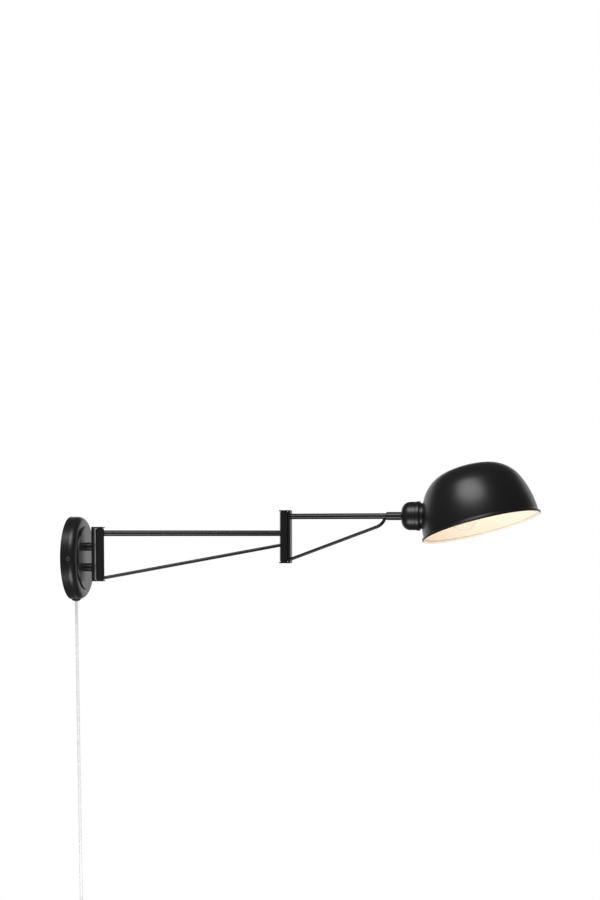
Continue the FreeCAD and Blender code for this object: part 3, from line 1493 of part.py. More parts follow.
build_wall_plate()
build_strap()
build_plate_inside()
build_terminal()
build_hinges()
build_arm_1()
build_arm_2()
build_swivel()
build_cup()
build_ring()
build_shade()
build_shade_seats()
build_holder()
build_bulb_glass()
build_bulb_cap()
build_filaments()
build_grip()
build_cord()
build_switch()
write_nodes()
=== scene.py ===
import json
import math

import bmesh
import bpy
import numpy as np
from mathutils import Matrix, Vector


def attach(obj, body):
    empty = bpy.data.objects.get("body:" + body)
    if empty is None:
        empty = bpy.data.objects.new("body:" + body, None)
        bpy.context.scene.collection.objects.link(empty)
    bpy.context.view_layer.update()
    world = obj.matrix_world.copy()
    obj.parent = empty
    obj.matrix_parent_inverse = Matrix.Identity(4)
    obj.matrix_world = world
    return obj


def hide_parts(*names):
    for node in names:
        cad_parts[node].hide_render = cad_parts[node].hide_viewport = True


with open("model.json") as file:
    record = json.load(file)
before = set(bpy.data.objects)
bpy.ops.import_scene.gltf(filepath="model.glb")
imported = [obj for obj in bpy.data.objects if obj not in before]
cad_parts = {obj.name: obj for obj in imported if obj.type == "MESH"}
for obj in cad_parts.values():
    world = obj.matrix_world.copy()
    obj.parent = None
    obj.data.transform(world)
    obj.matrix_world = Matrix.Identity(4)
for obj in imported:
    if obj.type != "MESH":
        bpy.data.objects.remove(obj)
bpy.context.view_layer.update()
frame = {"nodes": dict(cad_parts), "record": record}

# A plug-in swing-arm wall sconce: a black wall plate, two braced arms on forked hinges, a dome shade
# with a clear globe bulb, and a clear cord. Lengths in the tables are millimetres; meshes are metres.

MM = 0.001
ROUND = 96

PLATE = dict(radius=60.0, depth=21.0, rim=10.0, wall=1.5, disc=46.0, step=2.0)
FACE = PLATE["depth"] + PLATE["step"]
POST = dict(radius=6.0, length=8.25, bore=4.05, heights=(16.5, -13.5))
FORK_BACK = FACE + POST["length"]
HINGE = dict(top=45.3, bottom=-33.7, width=12.0, tab=2.0, reach=7.7, overhang=6.0)
WALL_WEB, ELBOW_WEB = 3.5, 3.3
UPRIGHT = dict(half=6.0, wall=1.0, corner=2.6, top=42.6, bottom=-31.0)
WALL_PIVOT = FORK_BACK + WALL_WEB + HINGE["reach"]
ARM_1_LENGTH = 271.2
ARM_1_HEIGHT = 36.0
ELBOW_RISE = 25.0
ARM_2_HEIGHT = ARM_1_HEIGHT + ELBOW_RISE
TUBE_RADIUS, TUBE_BORE = 4.25, 3.25
BRACE_RADIUS = 2.4
SLEEVE = dict(start=154.2, end=177.1, radius=6.0, round=1.8)
CUP = dict(back=177.4, front=199.1, radius=20.7, round=12.9, wall=1.2)
RING = dict(front=204.3, radius=21.4, round=0.8)
SPACER = dict(front=207.1, radius=19.8, bevel=1.1)
SHADE = dict(tilt=14.7, bead=1.8, lip=85.3, foot=83.6, foot_height=4.5, foot_taper=2.0, wall=1.1, hole=36.4)
SKIRT_CURVE, SHOULDER_TAPER, SHOULDER_CURVE, CROWN_CURVE = 130.0, 25.9, 53.7, 150.0
HOLDER = dict(back=189.6, front=237.6, radius=13.5, floor=210.6, bore=8.25)
BULB = dict(tip=212.85, length=78.0, radius=22.5, wall=0.8, neck=6.8, cap=24.0)
CORD_RADIUS = 2.2
CORD_X = 6.5
SWITCH = dict(top=-510.0, length=56.0, width=27.0, back=0.8, thickness=17.0, corner=6.0)
SWITCH_X = SWITCH["back"] + SWITCH["thickness"] / 2
COIL = dict(pitch=4.95, outer=35.0, turns=7.1944, start=110.0)
TAIL_LENGTH, TAIL_BEND, PLUG_LEAD = 24.0, 18.2, 38.0
SIDE_SCREW = dict(from_wall=11.0, shank=1.95, depth=6.9, head=3.3, rise=1.6, socket=1.5, floor=0.6)
CORD_GRIP = dict(inside=6.5, shank=5.3, flange_radius=6.6, flange=1.0, nose_radius=3.6, nose=2.8, play=0.1)
CORD_EXIT = PLATE["radius"] + CORD_GRIP["nose"]
WASHER = dict(bore=2.55, radius=5.0, thickness=0.6)
PIN = dict(radius=2.5, upper=5.9, lower=13.7)
GRUB = dict(radius=2.0, length=2.6, socket=1.0, floor=1.3, below_top=18.0, above_bottom=11.0, out=5.8)
BRACE_SEAT = 0.3
LONG_BRACE = dict(foot=64.8, head=17.8)
SHORT_BRACE = dict(foot=63.5, bend=6.6, bend_drop=13.0, bend_radius=20.0, end=1.0, end_drop=2.1)
SLEEVE_OVERLAP = 8.3
HOLDER_HOLE = dict(start=190.0, end=225.0, radius=13.6)
CAP = dict(radius=6.95, thread=5.0, collar=3.0, depth=0.9, pitch=2.82)
TIE = dict(back=5.3, front=18.25, near=13.2, far=39.0, wall=1.2, half_width=4.0)
PLUG = dict(neck=6.5, shoulder=19.8, half_width=17.5, length=36.0, half_thickness=6.7, edge=2.6)
PLUG_PIN = dict(length=19.0, radius=2.0, spacing=18.6)


# ---------------------------------------------------------------- places


def shifted(x, y, z):
    """A frame moved along the three axes."""
    place = np.eye(4)
    place[:3, 3] = (x, y, z)
    return place


def turned(axis, degrees):
    """A frame turned about one of the three axes."""
    c, s = math.cos(math.radians(degrees)), math.sin(math.radians(degrees))
    place = np.eye(4)
    first, second = {"X": (1, 2), "Y": (2, 0), "Z": (0, 1)}[axis]
    place[first, first], place[first, second] = c, -s
    place[second, first], place[second, second] = s, c
    return place


ROOT = np.eye(4)
ARM_1 = shifted(WALL_PIVOT, 0, 0) @ turned("Z", 15.0)
ARM_2 = ARM_1 @ shifted(ARM_1_LENGTH, 0, 0) @ turned("Z", -24.0)
HEAD_LEVEL = ARM_2 @ shifted(0, 0, ARM_2_HEIGHT)
HEAD = HEAD_LEVEL @ turned("X", -6.5)


def spoke(angle):
    """The unit vector at an angle in radians above the horizontal."""
    return np.array([math.cos(angle), math.sin(angle)])


def shade_arcs():
    """The shade's section above its flare, as (centre, radius, first angle, last angle) of the skirt's,
    the shoulder's and the crown's arc. Each is tangent to the next, and the crown's centre is on the axis."""
    low, high = math.radians(SHADE["foot_taper"]), math.radians(SHOULDER_TAPER)
    skirt = np.array([SHADE["foot"], SHADE["foot_height"]]) - spoke(low) * SKIRT_CURVE
    shoulder = skirt + spoke(high) * (SKIRT_CURVE - SHOULDER_CURVE)
    drop = math.sqrt((CROWN_CURVE - SHOULDER_CURVE) ** 2 - shoulder[0] ** 2)
    join = math.atan2(drop, shoulder[0])
    return [
        (skirt, SKIRT_CURVE, low, high),
        (shoulder, SHOULDER_CURVE, high, join),
        (np.array([0.0, shoulder[1] - drop]), CROWN_CURVE, join, math.pi / 2),
    ]


def shade_place():
    """The shade's frame: the middle of the holder's hole in its skirt lies on the arm."""
    centre, radius, *_ = shade_arcs()[0]
    across = centre[0] + math.sqrt(radius**2 - (SHADE["hole"] - centre[1]) ** 2)
    tilt = turned("Y", -SHADE["tilt"])
    hole = tilt[:3, :3] @ np.array([-across, 0, SHADE["hole"]])
    return HEAD @ shifted(SPACER["front"] - hole[0], -hole[1], -hole[2]) @ tilt


SHADE_PLACE = shade_place()


# ---------------------------------------------------------------- outlines and surfaces


def arc(centre, radius, start, end, count):
    """Points at a radius round a centre, evenly spaced between two angles in degrees."""
    angle = np.radians(np.linspace(start, end, count))
    return np.stack([centre[0] + radius * np.cos(angle), centre[1] + radius * np.sin(angle)], axis=1)


def rounded(corners, count=7, closed=True):
    """A smooth outline through corners given as (across, up, radius). Each corner becomes an arc tangent
    to both of its sides; its centre lies on the corner's bisector, radius / sin(half angle) away."""
    corners = [tuple(corner) + (0.0,) * (3 - len(corner)) for corner in corners]
    pieces = []
    for index, (x, y, radius) in enumerate(corners):
        here = np.array([x, y])
        at_end = not closed and index in (0, len(corners) - 1)
        if radius <= 0 or at_end:
            pieces.append(here[None])
            continue
        before = np.array(corners[index - 1][:2]) - here
        after = np.array(corners[(index + 1) % len(corners)][:2]) - here
        before, after = before / np.linalg.norm(before), after / np.linalg.norm(after)
        bisector = (before + after) / np.linalg.norm(before + after)
        half = math.acos(np.clip(before @ bisector, -1, 1))
        centre = here + bisector * radius / math.sin(half)
        spokes = [here + side * radius / math.tan(half) - centre for side in (before, after)]
        first, last = (math.atan2(spoke[1], spoke[0]) for spoke in spokes)
        sweep = (last - first + math.pi) % (2 * math.pi) - math.pi
        angle = first + sweep * np.linspace(0, 1, count)
        pieces.append(centre + radius * np.stack([np.cos(angle), np.sin(angle)], axis=1))
    return np.concatenate(pieces)


def put(grid, place):
    """A grid of points in millimetres carried by a frame into the lamp's own frame, in metres."""
    return (grid @ place[:3, :3].T + place[:3, 3]) * MM


def revolved(profile, count=ROUND):
    """A surface of revolution about X: the point at (t, angle) is (along(t), radius(t) cos angle,
    radius(t) sin angle)."""
    angle = np.linspace(0, 2 * np.pi, count, endpoint=False)
    along = np.broadcast_to(profile[:, :1], (len(profile), count))
    return np.stack([along, profile[:, 1:] * np.cos(angle), profile[:, 1:] * np.sin(angle)], axis=-1)


def outward(loop):
    """The unit normals of a closed loop of (across, up) points, to the right of its run."""
    ahead = np.roll(loop, -1, axis=0) - loop
    ahead = ahead / np.maximum(np.linalg.norm(ahead, axis=1, keepdims=True), 1e-9)
    edge = np.stack([ahead[:, 1], -ahead[:, 0]], axis=1)
    both = edge + np.roll(edge, 1, axis=0)
    return both / (both * edge).sum(axis=1, keepdims=True)


def raised(loop, profile):
    """A loop raised along Z: the point at (t, s) is loop(s) moved inwards along its own normal by
    inset(t), at height(t)."""
    flat = loop[None] - outward(loop)[None] * profile[:, :1, None]
    height = np.broadcast_to(profile[:, 1:], flat.shape[:2])
    return np.concatenate([flat, height[..., None]], axis=-1)


def block_profile(low, high, edge, count=4):
    """The inset and height of a block's side, with a quarter round of radius `edge` at both ends."""
    lower = arc((edge, low + edge), edge, 270, 180, count)
    upper = arc((edge, high - edge), edge, 180, 90, count)
    return np.concatenate([lower, upper])


def drawn_tube(path, radius, across, count=32):
    """A round rod along a path: the point at (t, angle) is path(t) + radius (cos angle side(t) +
    sin angle across), where side is square to the path and to `across`."""
    ahead = np.gradient(path, axis=0)
    ahead = ahead / np.linalg.norm(ahead, axis=1, keepdims=True)
    across = np.broadcast_to(np.asarray(across, float), ahead.shape)
    side = np.cross(across, ahead)
    angle = np.linspace(0, 2 * np.pi, count, endpoint=False)
    ring = side[:, None] * np.cos(angle)[:, None] + across[:, None] * np.sin(angle)[:, None]
    return path[:, None] + radius * ring


def faces_of(rows, columns, looped_rows):
    """The quads of a grid whose columns close on themselves, and whose rows may."""
    row = np.arange(rows if looped_rows else rows - 1)[:, None]
    column = np.arange(columns)[None]
    after_row, after_column = (row + 1) % rows, (column + 1) % columns
    quad = [row * columns + column, row * columns + after_column]
    quad += [after_row * columns + after_column, after_row * columns + column]
    return np.stack(np.broadcast_arrays(*quad), axis=-1).reshape(-1, 4)


def signed_volume(mesh):
    """Six times the volume inside a mesh, negative where its faces point inwards."""
    mesh.calc_loop_triangles()
    place = np.empty(len(mesh.vertices) * 3)
    mesh.vertices.foreach_get("co", place)
    corner = np.empty(len(mesh.loop_triangles) * 3, dtype=np.int32)
    mesh.loop_triangles.foreach_get("vertices", corner)
    a, b, c = np.moveaxis(place.reshape(-1, 3)[corner.reshape(-1, 3)], 1, 0)
    return float(np.einsum("ij,ij->i", a, np.cross(b, c)).sum())


def mesh_from(name, grids, closed=False, caps=True):
    """One mesh from one or more grids. A closed grid's last row joins its first; otherwise both ends get
    a flat face. Doubled points are merged and the faces turned to point outwards."""
    mesh = bpy.data.meshes.new(name)
    points, faces, start = [], [], 0
    for grid in grids:
        rows, columns = grid.shape[:2]
        points.append(grid.reshape(-1, 3))
        faces += (faces_of(rows, columns, closed) + start).tolist()
        if caps and not closed:
            faces.append(list(range(start + columns - 1, start - 1, -1)))
            faces.append(list(range(start + (rows - 1) * columns, start + rows * columns)))
        start += rows * columns
    mesh.from_pydata(np.concatenate(points).tolist(), [], faces)
    work = bmesh.new()
    work.from_mesh(mesh)
    bmesh.ops.remove_doubles(work, verts=work.verts, dist=2e-6)
    bmesh.ops.dissolve_degenerate(work, dist=1e-6, edges=work.edges)
    work.to_mesh(mesh)
    work.free()
    if signed_volume(mesh) < 0:
        mesh.flip_normals()
    return mesh


def settle(piece, kind, **settings):
    """Runs one modifier on a piece and keeps its result as the piece's own mesh."""
    change = piece.modifiers.new("change", kind)
    for setting, choice in settings.items():
        setattr(change, setting, choice)
    graph = bpy.context.evaluated_depsgraph_get()
    result = bpy.data.meshes.new_from_object(piece.evaluated_get(graph))
    piece.modifiers.clear()
    piece.data = result


def finish_piece(name, mesh, body, material, nodes, smooth=35.0):
    """Puts a mesh in the scene on its body, in place of the solids that it stands for. Its normals are
    weighed by face, so that flats stay flat between their rounded edges."""
    mesh.shade_smooth()
    mesh.set_sharp_from_angle(angle=math.radians(smooth))
    piece = bpy.data.objects.new(name, mesh)
    bpy.context.scene.collection.objects.link(piece)
    mesh.materials.append(material)
    settle(piece, "WEIGHTED_NORMAL", keep_sharp=True)
    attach(piece, body)
    if nodes:
        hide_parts(*nodes)
    return piece


# ---------------------------------------------------------------- finishes


def make_skin_group():
    """A sprayed or moulded skin: a fine, low waviness as a height, and a slight change of gloss."""
    group = bpy.data.node_groups.new("sprayed_skin", "ShaderNodeTree")
    face = group.interface
    face.new_socket("Scale", in_out="INPUT", socket_type="NodeSocketFloat").default_value = 900.0
    face.new_socket("Gloss", in_out="INPUT", socket_type="NodeSocketFloat").default_value = 0.3
    face.new_socket("Spread", in_out="INPUT", socket_type="NodeSocketFloat").default_value = 0.03
    face.new_socket("Height", in_out="OUTPUT", socket_type="NodeSocketFloat")
    face.new_socket("Roughness", in_out="OUTPUT", socket_type="NodeSocketFloat")
    inside, outside = group.nodes.new("NodeGroupInput"), group.nodes.new("NodeGroupOutput")
    place = group.nodes.new("ShaderNodeTexCoord")
    fine, broad = group.nodes.new("ShaderNodeTexNoise"), group.nodes.new("ShaderNodeTexNoise")
    fine.inputs["Detail"].default_value = 2.0
    broad.inputs["Scale"].default_value = 22.0
    broad.inputs["Detail"].default_value = 3.0
    centred = group.nodes.new("ShaderNodeMath")
    centred.operation = "SUBTRACT"
    centred.inputs[1].default_value = 0.5
    gloss = group.nodes.new("ShaderNodeMath")
    gloss.operation = "MULTIPLY_ADD"
    link = group.links.new
    link(place.outputs["Object"], fine.inputs["Vector"])
    link(place.outputs["Object"], broad.inputs["Vector"])
    link(inside.outputs["Scale"], fine.inputs["Scale"])
    link(fine.outputs["Fac"], outside.inputs["Height"])
    link(broad.outputs["Fac"], centred.inputs[0])
    link(centred.outputs[0], gloss.inputs[0])
    link(inside.outputs["Spread"], gloss.inputs[1])
    link(inside.outputs["Gloss"], gloss.inputs[2])
    link(gloss.outputs[0], outside.inputs["Roughness"])
    return group


SKIN = make_skin_group()


def make_finish(name, colour, roughness, skin=None, bump=0.0, **sockets):
    """A Principled finish. With `skin` its gloss and its fine relief come from the sprayed skin, whose
    waves are that many to the metre."""
    material = bpy.data.materials.new(name)
    material.use_nodes = True
    nodes, link = material.node_tree.nodes, material.node_tree.links.new
    shader = nodes["Principled BSDF"]
    shader.inputs["Base Color"].default_value = (*colour, 1.0)
    shader.inputs["Roughness"].default_value = roughness
    for socket, number in sockets.items():
        shader.inputs[socket.replace("_", " ")].default_value = number
    if skin:
        effect = nodes.new("ShaderNodeGroup")
        effect.node_tree = SKIN
        effect.inputs["Scale"].default_value = skin
        effect.inputs["Gloss"].default_value = roughness
        relief = nodes.new("ShaderNodeBump")
        relief.inputs["Strength"].default_value = bump
        relief.inputs["Distance"].default_value = 0.0002
        link(effect.outputs["Height"], relief.inputs["Height"])
        link(effect.outputs["Roughness"], shader.inputs["Roughness"])
        link(relief.outputs["Normal"], shader.inputs["Normal"])
    return material


BLACK = make_finish("black_satin_paint", (0.006, 0.006, 0.0057), 0.34, skin=700.0, bump=0.01)
WHITE = make_finish("white_inner_paint", (0.88, 0.83, 0.75), 0.45, skin=700.0, bump=0.02)
STEEL = make_finish("zinc_steel", (0.55, 0.55, 0.54), 0.35, skin=2500.0, bump=0.05, Metallic=1.0)
DARK_STEEL = make_finish("blackened_steel", (0.03, 0.03, 0.03), 0.35, skin=2500.0, bump=0.05)
DARK_WASHER = make_finish("oiled_steel_washer", (0.02, 0.02, 0.02), 0.4, skin=2500.0, bump=0.05)
BRASS = make_finish("plain_brass", (0.72, 0.53, 0.25), 0.28, skin=1500.0, bump=0.02, Metallic=1.0)
NICKEL = make_finish("nickel_cap", (0.72, 0.7, 0.66), 0.22, skin=1500.0, bump=0.02, Metallic=1.0)
HOLDER_WHITE = make_finish("white_holder_plastic", (0.8, 0.78, 0.74), 0.4, skin=1200.0, bump=0.03)
CLEAR = make_finish("clear_sheath", (0.83, 0.83, 0.81), 0.2, IOR=1.5, Transmission_Weight=0.45)
CLEAR_BLOCK = make_finish(
    "clear_moulding", (0.8, 0.81, 0.8), 0.25, skin=900.0, bump=0.03, Transmission_Weight=0.3
)
GRIP = make_finish("black_grip_plastic", (0.02, 0.02, 0.02), 0.45, skin=1500.0, bump=0.03)
GLASS = make_finish("clear_bulb_glass", (1.0, 1.0, 1.0), 0.02, IOR=1.45, Transmission_Weight=1.0)
GLOW = make_finish(
    "warm_filament", (1.0, 0.7, 0.35), 0.5, Emission_Color=(1.0, 0.72, 0.42, 1.0), Emission_Strength=6.0
)
ROCKER_WHITE = make_finish("white_rocker_plastic", (0.8, 0.8, 0.79), 0.3, skin=1200.0, bump=0.03)
DARK_STRAP = make_finish("dark_strap", (0.05, 0.05, 0.05), 0.7, skin=3000.0, bump=0.3)

CAD_FINISH = {
    "black_paint": BLACK,
    "steel": STEEL,
    "brass": BRASS,
    "nickel": NICKEL,
    "white_plastic": HOLDER_WHITE,
    "grip_plastic": GRIP,
    "cord_plastic": CLEAR,
    "clear_plastic": CLEAR_BLOCK,
    "clear_glass": GLASS,
    "filament": GLOW,
}


def dress_solids():
    """Gives every solid that stays in view the finish of its material slot."""
    slots = {part["node"]: part["material_slot"] for part in frame["record"]["subparts"]}
    for name, solid in frame["nodes"].items():
        solid.data.materials.clear()
        solid.data.materials.append(CAD_FINISH[slots[name]])


dress_solids()


# ---------------------------------------------------------------- wall plate and posts


def turned_piece(name, profiles, place, body, material, nodes, closed=False, count=ROUND):
    """Pieces turned about their own X axes, as one mesh. `profiles` pairs each outline with its frame."""
    grids = [put(revolved(profile, count), place @ own) for profile, own in profiles]
    return finish_piece(name, mesh_from(name, grids, closed, caps=False), body, material, nodes)


def make_wall_plate():
    """A pressed plate: a flat side, a quarter-round rim, a raised disc and a flat face."""
    radius, depth, rim, wall, disc = (PLATE[key] for key in ("radius", "depth", "rim", "wall", "disc"))
    outer = [
        (0, radius, 0.4),
        (depth, radius, rim),
        (depth, disc, 0.5),
        (FACE, disc, 0.7),
        (FACE, 0),
        (FACE - wall, 0),
        (FACE - wall, disc - wall, 0.4),
        (depth - wall, disc - wall, 0.4),
        (depth - wall, radius - wall, rim - wall),
        (0, radius - wall, 0.3),
    ]
    plate = [(rounded(outer, 12), ROOT)]
    turned_piece("pressed_plate", plate, ROOT, "root", BLACK, ["wall_plate"], closed=True, count=160)


def make_posts():
    profile = rounded(
        [
            (FACE, POST["bore"]),
            (FACE, POST["radius"], 0.3),
            (FORK_BACK, POST["radius"], 0.3),
            (FORK_BACK, POST["bore"]),
        ]
    )
    for side, height in zip(("upper", "lower"), POST["heights"]):
        post = [(profile, shifted(0, 0, height))]
        turned_piece(f"{side}_stand_off", post, ROOT, "root", BLACK, [f"{side}_post"], closed=True, count=48)


def make_side_screws():
    """Two button heads with a round socket, on the plate's sides."""
    depth, rise, floor = -SIDE_SCREW["depth"], SIDE_SCREW["rise"], SIDE_SCREW["floor"]
    shank = [(depth, 0), (depth, SIDE_SCREW["shank"], 0.4), (0, SIDE_SCREW["shank"])]
    head = [(0, SIDE_SCREW["head"]), (rise, SIDE_SCREW["head"], 1.4)]
    socket = [(rise, SIDE_SCREW["socket"], 0.1), (floor, SIDE_SCREW["socket"]), (floor, 0)]
    profile = rounded(shank + head + socket, closed=False)
    screws = []
    for side in (-1, 1):
        head_place = shifted(SIDE_SCREW["from_wall"], side * PLATE["radius"], 0)
        screws.append((profile, head_place @ turned("Z", side * 90)))
    turned_piece("button_screws", screws, ROOT, "root", DARK_STEEL, ["plate_side_screws"], count=36)


def make_cord_grip():
    """The grip in the plate's lower edge: a flange and a tapered nose round the cord."""
    edge, bore = PLATE["radius"], CORD_RADIUS + CORD_GRIP["play"]
    start, wide = edge - CORD_GRIP["inside"], CORD_GRIP["flange_radius"]
    shank = [(start, bore), (start, CORD_GRIP["shank"]), (edge, CORD_GRIP["shank"])]
    flange = [(edge, wide, 0.3), (edge + CORD_GRIP["flange"], wide, 0.4)]
    nose = [(CORD_EXIT, CORD_GRIP["nose_radius"], 0.5), (CORD_EXIT, bore, 0.2)]
    profile = rounded(shank + flange + nose)
    own = shifted(CORD_X, 0, 0) @ turned("Y", 90)
    turned_piece("cord_bush", [(profile, own)], ROOT, "root", GRIP, ["cord_grip"], closed=True, count=48)


# ---------------------------------------------------------------- hinges


def make_fork(name, place, back, web, rise, side, body):
    """A strip bent to a C: its outline with rounded bends, raised across its width."""
    tip = back + side * (web + HINGE["reach"] + HINGE["overhang"])
    front = back + side * web
    top, bottom, tab = HINGE["top"] + rise, HINGE["bottom"] + rise, HINGE["tab"]
    corners = [
        (back, bottom, 0.8),
        (tip, bottom, 0.35),
        (tip, bottom + tab, 0.35),
        (front, bottom + tab, 0.4),
        (front, top - tab, 0.4),
        (tip, top - tab, 0.35),
        (tip, top, 0.35),
        (back, top, 0.8),
    ]
    loop = rounded(corners if side > 0 else corners[::-1], 5)
    half = HINGE["width"] / 2
    upright = place @ turned("X", 90)
    grid = put(raised(loop, block_profile(-half, half, 0.2)), upright)
    finish_piece(f"bent_{name}", mesh_from(name, [grid]), body, BLACK, [name])


def square_loop(half, corner, across):
    """A square with rounded corners about (across, 0)."""
    low, high = across - half, across + half
    corners = [(low, -half), (high, -half), (high, half), (low, half)]
    return rounded([(*place, corner) for place in corners], 6)


def make_upright(name, across, rise):
    """A square tube: a rounded square carried round the outline of its wall."""
    low, high, wall = UPRIGHT["bottom"] + rise, UPRIGHT["top"] + rise, UPRIGHT["wall"]
    profile = rounded([(0, low, 0.25), (0, high, 0.25), (wall, high, 0.25), (wall, low, 0.25)], 4)
    grid = put(raised(square_loop(UPRIGHT["half"], UPRIGHT["corner"], across), profile), ARM_1)
    finish_piece(f"square_{name}", mesh_from(name, [grid], closed=True), "arm_1", BLACK, [name])


def make_washers(name, across, rise):
    """Two thin washers against the ends of an upright."""
    bore, radius, thickness = (WASHER[key] for key in ("bore", "radius", "thickness"))
    profile = rounded([(0, bore), (0, radius, 0.12), (thickness, radius, 0.12), (thickness, bore)], 4)
    upper = shifted(across, 0, UPRIGHT["top"] + rise) @ turned("Y", -90)
    lower = shifted(across, 0, UPRIGHT["bottom"] + rise) @ turned("Y", 90)
    pair = [(profile, upper), (profile, lower)]
    turned_piece(f"thin_{name}", pair, ARM_1, "arm_1", DARK_WASHER, [name], closed=True, count=48)


def pin_line(depth):
    """A pin's outline, from its inner end to its outer one at 0."""
    radius = PIN["radius"]
    return rounded([(-depth, 0), (-depth, radius, 0.3), (0, radius, 0.35), (0, 0)], closed=False)


def make_pins(name, place, across, rise, body):
    """Two riveted pins: a shank through each tab, its rounded end level with the tab's outside."""
    high = shifted(across, 0, HINGE["top"] + rise) @ turned("Y", -90)
    low = shifted(across, 0, HINGE["bottom"] + rise) @ turned("Y", 90)
    pins = [(pin_line(PIN["upper"]), high), (pin_line(PIN["lower"]), low)]
    turned_piece(f"domed_{name}", pins, place, body, DARK_STEEL, [name], count=40)


def make_grub_screws():
    """Four small grub screws with a round socket, set just under the uprights' near faces."""
    radius, length, socket, floor = (GRUB[key] for key in ("radius", "length", "socket", "floor"))
    outside = [(-length, 0), (-length, radius), (0, radius, 0.3)]
    profile = rounded(outside + [(0, socket, 0.1), (-floor, socket), (-floor, 0)], 4, closed=False)
    screws = []
    for across, rise in ((0.0, 0.0), (ARM_1_LENGTH, ELBOW_RISE)):
        upper = HINGE["top"] - GRUB["below_top"] + rise
        lower = HINGE["bottom"] + GRUB["above_bottom"] + rise
        for height in (upper, lower):
            screws.append((profile, shifted(across, -GRUB["out"], height) @ turned("Z", -90)))
    turned_piece("grub_screws", screws, ARM_1, "arm_1", DARK_STEEL, ["upright_grub_screws"], count=28)


# ---------------------------------------------------------------- arms


def make_arm_tube(name, start, end, height, place, body):
    profile = rounded([(start, TUBE_BORE), (start, TUBE_RADIUS), (end, TUBE_RADIUS), (end, TUBE_BORE)])
    tube = [(profile, shifted(0, 0, height))]
    turned_piece(name, tube, place, body, BLACK, [f"{body}_tube"], closed=True, count=48)


def make_brace(name, corners, place, body):
    """A brace rod along straight runs with round bends, in the arm's own upright plane."""
    line = rounded(corners, 24, closed=False)
    path = np.stack([line[:, 0], np.zeros(len(line)), line[:, 1]], axis=1)
    grid = put(drawn_tube(path, BRACE_RADIUS, (0, 1, 0)), place)
    finish_piece(name, mesh_from(name, [grid]), body, BLACK, [f"{body}_brace"])


def make_arms():
    half = UPRIGHT["half"]
    far = ARM_1_LENGTH - half
    make_arm_tube("long_arm_tube", half, far, ARM_1_HEIGHT, ARM_1, "arm_1")
    foot, head = ARM_1_HEIGHT - LONG_BRACE["foot"], ARM_1_HEIGHT - LONG_BRACE["head"]
    make_brace("long_arm_brace", [(half - BRACE_SEAT, foot), (far + BRACE_SEAT, head)], ARM_1, "arm_1")
    start = HINGE["reach"] + ELBOW_WEB
    make_arm_tube("short_arm_tube", start, SLEEVE["end"] - SLEEVE_OVERLAP, ARM_2_HEIGHT, ARM_2, "arm_2")
    bend, end = SLEEVE["start"] - SHORT_BRACE["bend"], SLEEVE["start"] - SHORT_BRACE["end"]
    lower = [
        (start - BRACE_SEAT, ARM_2_HEIGHT - SHORT_BRACE["foot"]),
        (bend, ARM_2_HEIGHT - SHORT_BRACE["bend_drop"], SHORT_BRACE["bend_radius"]),
        (end, ARM_2_HEIGHT - SHORT_BRACE["end_drop"]),
    ]
    make_brace("short_arm_brace", lower, ARM_2, "arm_2")


# ---------------------------------------------------------------- swivel, cup and ring


def make_swivel():
    radius, edge = SLEEVE["radius"], SLEEVE["round"]
    profile = rounded(
        [
            (SLEEVE["start"], TUBE_RADIUS + 0.05),
            (SLEEVE["start"], radius, edge - 0.1),
            (SLEEVE["end"], radius, 0.3),
            (SLEEVE["end"], TUBE_RADIUS + 0.05),
        ]
    )
    sleeve, nodes = [(profile, ROOT)], ["swivel_sleeve"]
    turned_piece("turned_sleeve", sleeve, HEAD_LEVEL, "arm_2", BLACK, nodes, closed=True, count=64)


def make_cup():
    """The socket cup: a domed back, a straight side with a fine groove, hollow inside."""
    back, front, radius, turn, wall = (CUP[key] for key in ("back", "front", "radius", "round", "wall"))
    hub, groove = radius - turn, front - 4.5
    dome = arc((back + turn, hub), turn, 180, 90, 24)
    side, inner = radius, radius - wall
    notch = [(groove - 0.9, side, 0.3), (groove, side - 0.55, 0.2), (groove + 0.9, side, 0.3)]
    outer = rounded(notch, 4)
    mouth = rounded([(front, side, 0.3), (front, inner, 0.3), (back + turn, inner)], 4, closed=False)
    hollow = arc((back + turn, hub), turn - wall, 90, 180, 24)
    bore = np.array([[back + wall, 4.35], [back, 4.35]])
    corner = np.array([[front - 0.3, radius], [front, radius - 0.3]])
    profile = np.concatenate([dome, outer, corner, mouth[1:], hollow, bore])
    turned_piece("domed_cup", [(profile, ROOT)], HEAD, "lamp_head", BLACK, ["socket_cup"], closed=True)


def make_ring():
    front, radius, edge = RING["front"], RING["radius"], RING["round"]
    bore = HOLDER["radius"] + 0.05
    back = CUP["front"]
    profile = rounded([(back, bore), (back, radius, edge), (front, radius, edge), (front, bore)])
    turned_piece("threaded_ring", [(profile, ROOT)], HEAD, "lamp_head", BLACK, ["cup_ring"], closed=True)


# ---------------------------------------------------------------- shade


def shade_line(inset):
    """The shade's section from the lip to the crown as (radius, height), moved in by `inset`: a flare that
    ends at the lip, and then the three arcs."""
    parts = []
    for (centre, radius, first, last), count in zip(shade_arcs(), (22, 26, 22)):
        parts.append(arc(centre, radius - inset, math.degrees(first), math.degrees(last), count)[1:])
    taper = math.radians(SHADE["foot_taper"])
    centre, radius, first, _ = shade_arcs()[0]
    foot = centre + spoke(first) * (radius - inset)
    return np.concatenate([lip_arc(foot, np.array([SHADE["lip"] - inset, 0.0]), taper)] + parts)


